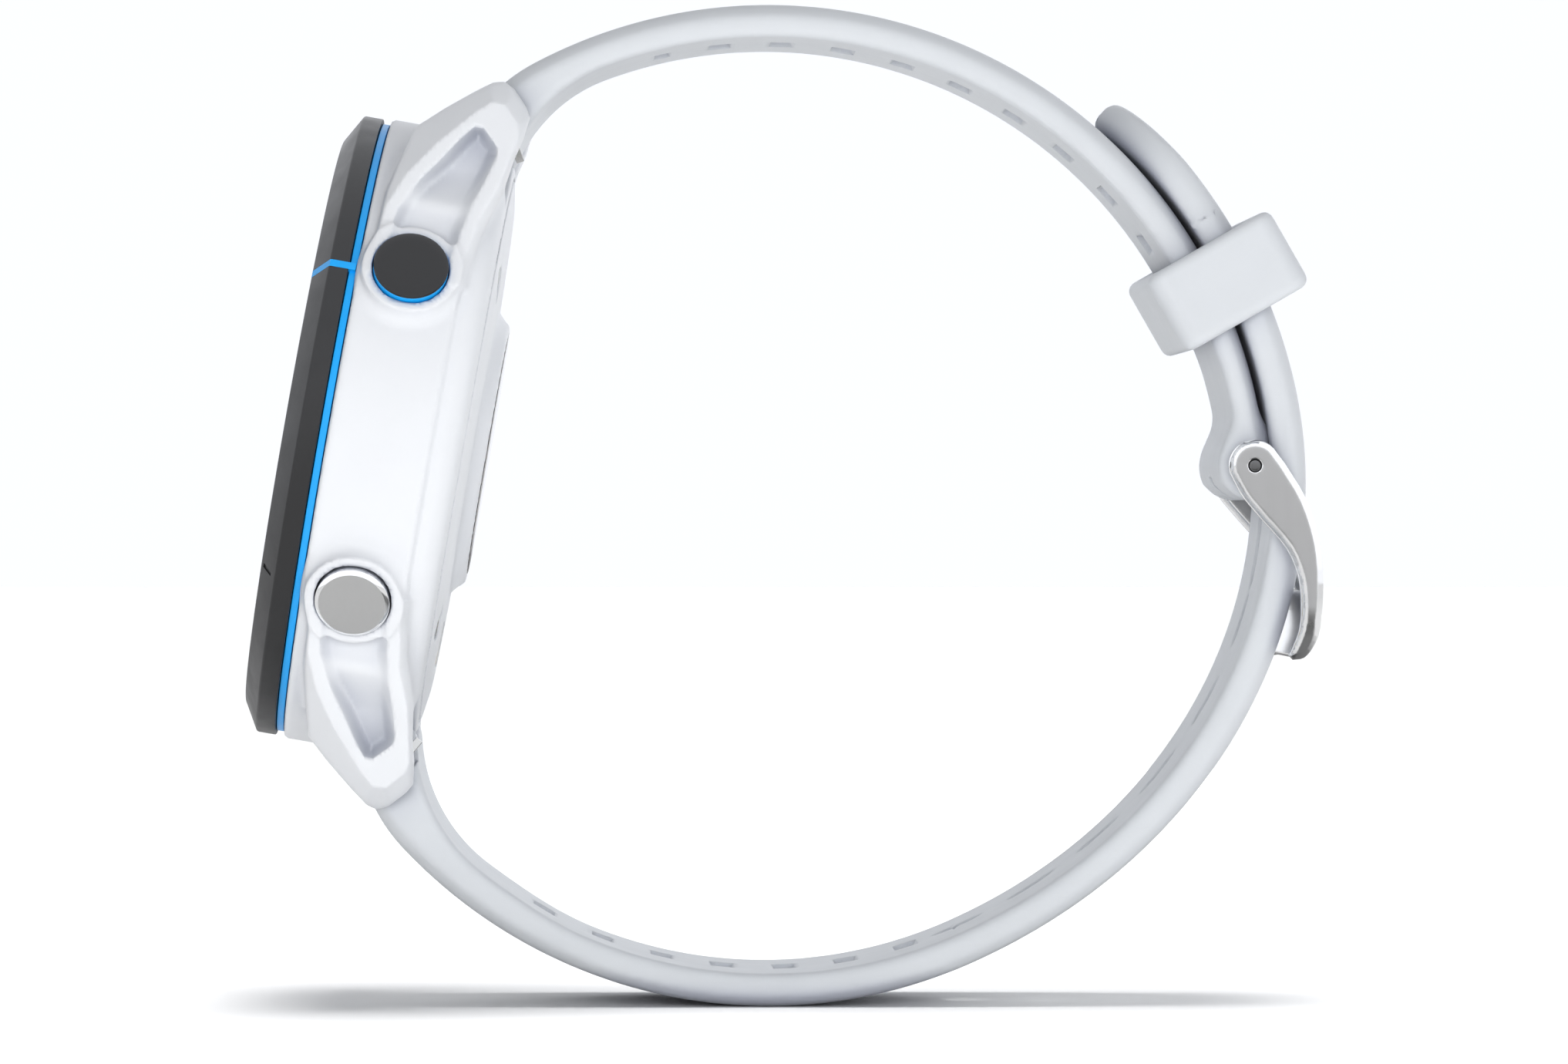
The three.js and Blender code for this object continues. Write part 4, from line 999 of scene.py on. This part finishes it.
def keeper_field(p):
    """A short length of rectangular tube, soft at every edge."""
    q = p - KEEPER_CENTRE
    u = q[:, 0] * math.cos(KEEPER_TILT) + q[:, 2] * math.sin(KEEPER_TILT)
    v = q[:, 2] * math.cos(KEEPER_TILT) - q[:, 0] * math.sin(KEEPER_TILT)
    outer = rounded_box_field(u, q[:, 1], KEEPER_HALF[0], KEEPER_HALF[1], 1.5)
    opening = rounded_box_field(u, q[:, 1], *OPENING_HALF, 0.6)
    return without(soft_max(outer, np.abs(v) - KEEPER_HALF[2], 0.9), opening, 0.5)


drawn_like("keeper", "keeper_loop_body", keeper_field, 0.6, 0.22, silicone, "keeper_loop")

# %% [markdown]
# The buckle is stamped steel: two arms with buffed bevels whose lower ends turn in to meet a bar, a
# tongue that reaches from the pin to the bar, and the pin. The side of an arm is a drawing, made from
# an arc about the pin and smooth lines through a few points.

# %% Buckle frame, tongue and pin
ARM_MIDDLE, ARM_HALF, ARM_BEVEL = 12.1, 0.8, 0.42
BAR_END, BAR_TOP, TURN_IN_FROM = 11.9, -10.0, -11.2
PIN_RADIUS, PIN_TIP, PIN_HOLE_STEP = 0.6, 0.46, 11.7
TONGUE_EYE, TONGUE_HALF_THICK, TONGUE_HALF_WIDE = 1.5, 0.45, 1.0
NOTCH_HALF_WIDE, NOTCH_FACE, NOTCH_FOOT = 1.15, 60.32, -13.0


def curve_through(points, steps):
    """A smooth line through a few points (Catmull-Rom: each stretch leaves along the chord between
    its neighbours)."""
    p = np.array(points, float)
    p = np.vstack([2 * p[0] - p[1], p, 2 * p[-1] - p[-2]])
    line = []
    for i in range(1, len(p) - 2):
        t = np.linspace(0, 1, steps, endpoint=False)[:, None]
        a, b, c, d = p[i - 1], p[i], p[i + 1], p[i + 2]
        line.append(0.5 * (2 * b + (c - a) * t + (2 * a - 5 * b + 4 * c - d) * t ** 2
                           + (3 * b - a - 3 * c + d) * t ** 3))
    return np.vstack(line + [p[-2:-1]])


ARM_EYE = 1.9
eye_turn = np.radians(np.linspace(42, 196, 14))
arm_outline = np.vstack([
    np.stack([PIVOT[0] + ARM_EYE * np.cos(eye_turn), PIVOT[2] + ARM_EYE * np.sin(eye_turn)], 1),
    curve_through([(54.95, -2.2), (55.6, -3.3), (56.95, -4.9), (58.7, -6.95), (59.55, -9.0),
                   (59.75, -10.9), (59.65, -12.8), (59.2, -14.2), (58.95, -14.8)], 3),
    curve_through([(59.3, -15.15), (60.1, -15.0), (60.75, -14.2), (61.22, -12.8), (61.42, -9.5),
                   (61.15, -6.4), (60.15, -3.3), (58.6, -0.7)], 3)])
tongue_line = curve_through([(PIVOT[0], PIVOT[2]), (58.35, -3.7), (60.0, -7.4), (60.8, -10.0),
                             (60.85, -12.0)], 5)


def strip_outline(line, half):
    """Both sides of a line, a constant distance from it."""
    along = np.gradient(line, axis=0)
    along /= np.linalg.norm(along, axis=1, keepdims=True)
    normal = np.stack([-along[:, 1], along[:, 0]], 1) * half
    return np.vstack([line + normal, (line - normal)[::-1]])


def frame_field(p):
    """Two flat arms with a bevel all round, whose lower ends turn in to a bar with a notch for the
    tongue."""
    x, y, z = p.T
    arms = polygon_field(x, z, arm_outline)
    turn_in = 0.085 * np.maximum(TURN_IN_FROM - z, 0) ** 2
    flat = (np.abs(np.abs(y) + turn_in - ARM_MIDDLE) - ARM_HALF) * 0.9
    bevel = (arms + flat + ARM_BEVEL) * math.sqrt(0.5)
    plate = all_of(0.12, arms, flat, bevel)
    bar = all_of(0.5, arms + 0.15, z - BAR_TOP, np.abs(y) + turn_in - BAR_END)
    shape = soft_min(plate, bar, 0.3)
    pin = np.hypot(x - PIVOT[0], z - PIVOT[2])
    shape = without(shape, pin - np.where(np.abs(y) > PIN_HOLE_STEP, PIN_TIP, PIN_RADIUS) - 0.05, 0.06)
    notch_face = NOTCH_FACE - x + 0.1 * (z + 11.0)
    notch = all_of(0.1, np.abs(y) - NOTCH_HALF_WIDE, notch_face, NOTCH_FOOT - z)
    return without(shape, notch, 0.2)


drawn_like("buckle_frame", "buckle_body", frame_field, 0.5, 0.17, buckle_steel, "buckle")


def tongue_field(p):
    """An eye round the pin and a slim bar that bends out to the frame."""
    x, y, z = p.T
    pin = np.hypot(x - PIVOT[0], z - PIVOT[2])
    strip = polygon_field(x, z, strip_outline(tongue_line, TONGUE_HALF_THICK))
    shape = all_of(0.35, soft_min(pin - TONGUE_EYE, strip, 0.8), np.abs(y) - TONGUE_HALF_WIDE)
    return without(shape, pin - PIN_RADIUS - 0.08, 0.1)


drawn_like("buckle_tongue", "tongue_body", tongue_field, 0.4, 0.13, plain_steel, "tongue")
PIN_END, STEP_START, STEP_END = row_box("buckle_pin")[1][1], 11.4, 11.5
pin_half = fillet([(0.0, PIN_END), (PIN_TIP, PIN_END), (PIN_TIP, STEP_END), (PIN_RADIUS, STEP_START)],
                  [0, 0.22, 0, 0])
pin_profile = np.vstack([pin_half, (pin_half * [1, -1])[::-1]])
points, faces = spin(pin_profile, PIVOT, (0, 1, 0), (1, 0, 0), 48)
place(clean(add_mesh("pin_body", points, faces), 30), pin_steel, "buckle", "buckle_pin")

# %% [markdown]
# Small hardware comes from the CAD with edges as sharp as a drawing. Real edges are always broken,
# and the thin bright line along them is what makes metal look real. A bevel on a merged copy of the
# CAD piece does that, and keeps every measure.

# %% Small hardware with broken edges
def with_broken_edges(node, material, body, width_mm):
    """A copy of a CAD piece: its loose triangles are merged, flat groups become single faces, and each
    edge sharper than 30 degrees gets a two-step bevel of the given width."""
    work = bmesh.new()
    work.from_mesh(frame["nodes"][node].data)
    bmesh.ops.remove_doubles(work, verts=work.verts, dist=1e-6)
    bmesh.ops.dissolve_limit(work, angle_limit=FLAT, verts=work.verts, edges=work.edges)
    sharp = [e for e in work.edges if e.is_manifold and e.calc_face_angle(0) > SHARP]
    bmesh.ops.bevel(work, geom=sharp, offset=width_mm * MM, segments=2, profile=0.5, affect="EDGES",
                    clamp_overlap=True)
    mesh = bpy.data.meshes.new(f"{node}_soft")
    work.to_mesh(mesh)
    work.free()
    place(clean(new_object(f"{node}_soft", mesh), 25), material, body, node)


SHARP, FLAT = math.radians(30), math.radians(1.5)
for end in ("upper", "lower"):
    with_broken_edges(f"quick_release_{end}", plain_steel, f"release_{end}", 0.12)
    with_broken_edges(f"spring_bar_{end}", plain_steel, "case_and_strap", 0.08)
for i in (1, 2, 3, 4):
    with_broken_edges(f"back_screw_{i}", plain_steel, "case_and_strap", 0.06)
with_broken_edges("charge_connector", contact_gold, "case_and_strap", 0.08)

# %% [markdown]
# Everything inside the case keeps its CAD shape, because nothing outside shows it, but it still gets
# a finish: rubber seals, lacquered boards, a foil battery, a gold antenna.

# %% Materials for the CAD nodes that keep their own shape
KEPT = {
    plain_steel: ["vibration_motor"],
    black_rubber: ["lens_gasket", "back_gasket"] + [f"{name}_button_seal" for name in BUTTONS],
    grey_polymer: ["chassis", "buzzer"] + [f"{name}_switch" for name in BUTTONS],
    circuit_green: ["main_board", "sensor_board"],
    battery_foil: ["battery"],
    contact_gold: ["antenna"],
    gloss_black: ["display_panel"],
}
for material, nodes in KEPT.items():
    for node in nodes:
        mesh = frame["nodes"][node].data
        mesh.materials.clear()
        mesh.materials.append(material)
print("kept CAD nodes:", sum(len(nodes) for nodes in KEPT.values()))

# %% [markdown]
# The watch stands on its strap on a plain white table. A product picture wants a white ground with a
# soft shadow, but a table bright enough for that would also light the watch from below and flatten
# it. So the table is white to the camera and duller to everything else, and a sun that lights only
# the table makes the shadow. Polished steel shows what is round it, so a grey card lies on the table
# by the buckle, and only reflections see it.

# %% Floor
FLOOR, FLOOR_HALF = row_box("strap_lower")[0][2] * MM, 4.0
FLOOR_BOUNCE = (0.78, 0.78, 0.78)
FLOOR_MIRRORED = ((0.60, 0.60, 0.60), (0.12, 0.12, 0.12))
floor_mesh = bpy.data.meshes.new("floor")
corners = [(-1, -1), (1, -1), (1, 1), (-1, 1)]
floor_mesh.from_pydata([(x * FLOOR_HALF, y * FLOOR_HALF, FLOOR) for x, y in corners], [], [(0, 1, 2, 3)])
floor = new_object("floor", floor_mesh)
floor_paint, tree, shader = node_material("floor_paint")
seen = add_node(tree, "LightPath", {}).outputs
paper = blend(tree, noise(tree, object_coordinates(tree), 60.0), (0.94, 0.94, 0.94), (0.95, 0.95, 0.95))
spot = add_node(tree, "SeparateXYZ", {"Vector": object_coordinates(tree)})
card_starts = spread(tree, spot.outputs["X"], 0.0, 1.0, 20 * MM, 48 * MM)
card_ends = spread(tree, spot.outputs["X"], 1.0, 0.0, 80 * MM, 110 * MM)
on_card = blend(tree, card_starts, 0.0, card_ends, "FLOAT")
mirrored_floor = blend(tree, on_card, *FLOOR_MIRRORED)
unseen = blend(tree, seen["Is Glossy Ray"], FLOOR_BOUNCE, mirrored_floor)
seen_floor = blend(tree, seen["Is Camera Ray"], unseen, paper)
give(tree, shader, {"Base Color": seen_floor, "Roughness": 0.8, "Specular IOR Level": 0.1})
floor.data.materials.append(floor_paint)
print("floor at", round(FLOOR / MM, 2), "mm")

sun_data = bpy.data.lights.new("floor_sun", "SUN")
sun_data.energy = 2.5
sun_data.angle = math.radians(35)
floor_sun = new_object("floor_sun", sun_data)
floor_only = bpy.data.collections.new("floor_only")
floor_only.objects.link(floor)
floor_sun.light_linking.receiver_collection = floor_only


# %% [markdown]
# Three large panels give soft light: one in front, a weak one above, and one on the far side, so the
# watch is lit from wherever it is seen. Larger panels make softer shade. They are hidden from
# reflections, because a square patch of light on a curved bevel spoils its line.

# %% Light panels
LIGHT_AIM = Vector((22, 0, 0)) * MM


def panel(name, place_mm, size_mm, power):
    """A soft light panel that faces the watch."""
    data = bpy.data.lights.new(name, "AREA")
    data.shape = "RECTANGLE"
    data.size, data.size_y = size_mm[0] * MM, size_mm[1] * MM
    data.energy = power
    light = new_object(name, data)
    light.location = Vector(place_mm) * MM
    light.rotation_euler = (LIGHT_AIM - light.location).to_track_quat("-Z", "Y").to_euler()
    light.visible_glossy = False
    print(f"{name}: {power} W")


panel("front_panel", (25, -560, 40), (560, 260), 2.15)
panel("top_panel", (90, 60, 560), (500, 400), 0.30)
panel("far_panel", (230, 520, 110), (360, 260), 1.4)

# %% [markdown]
# The sky fills the rest. It is dimmer from the left, where the watch's own face is, so the inner side
# of the strap falls into shade. Steel sees a sky that darkens downwards, and the camera sees white.

# %% Sky
world = bpy.data.worlds.new("sky")
world.use_nodes = True
tree = world.node_tree
sky = tree.nodes["Background"]
SKY_SEEN = 1.05
SKY_LEFT_TO_RIGHT = (0.06, 0.50)
SKY_MIRRORED = (0.30, 1.25)
seen = add_node(tree, "LightPath", {}).outputs
direction = add_node(tree, "TexCoord", {}).outputs["Generated"]
way = add_node(tree, "SeparateXYZ", {"Vector": direction})
mirrored_sky = spread(tree, way.outputs["Z"], *SKY_MIRRORED, from_low=-0.6, from_high=0.15)
soft_light = spread(tree, way.outputs["X"], *SKY_LEFT_TO_RIGHT, from_low=-1.0, from_high=1.0)
unseen = blend(tree, seen["Is Glossy Ray"], soft_light, mirrored_sky, "FLOAT")
strength = blend(tree, seen["Is Camera Ray"], unseen, SKY_SEEN, "FLOAT")
give(tree, sky, {"Color": (0.94, 0.96, 1.0), "Strength": strength})
bpy.context.scene.world = world
bpy.context.scene.view_settings.view_transform = "Standard"
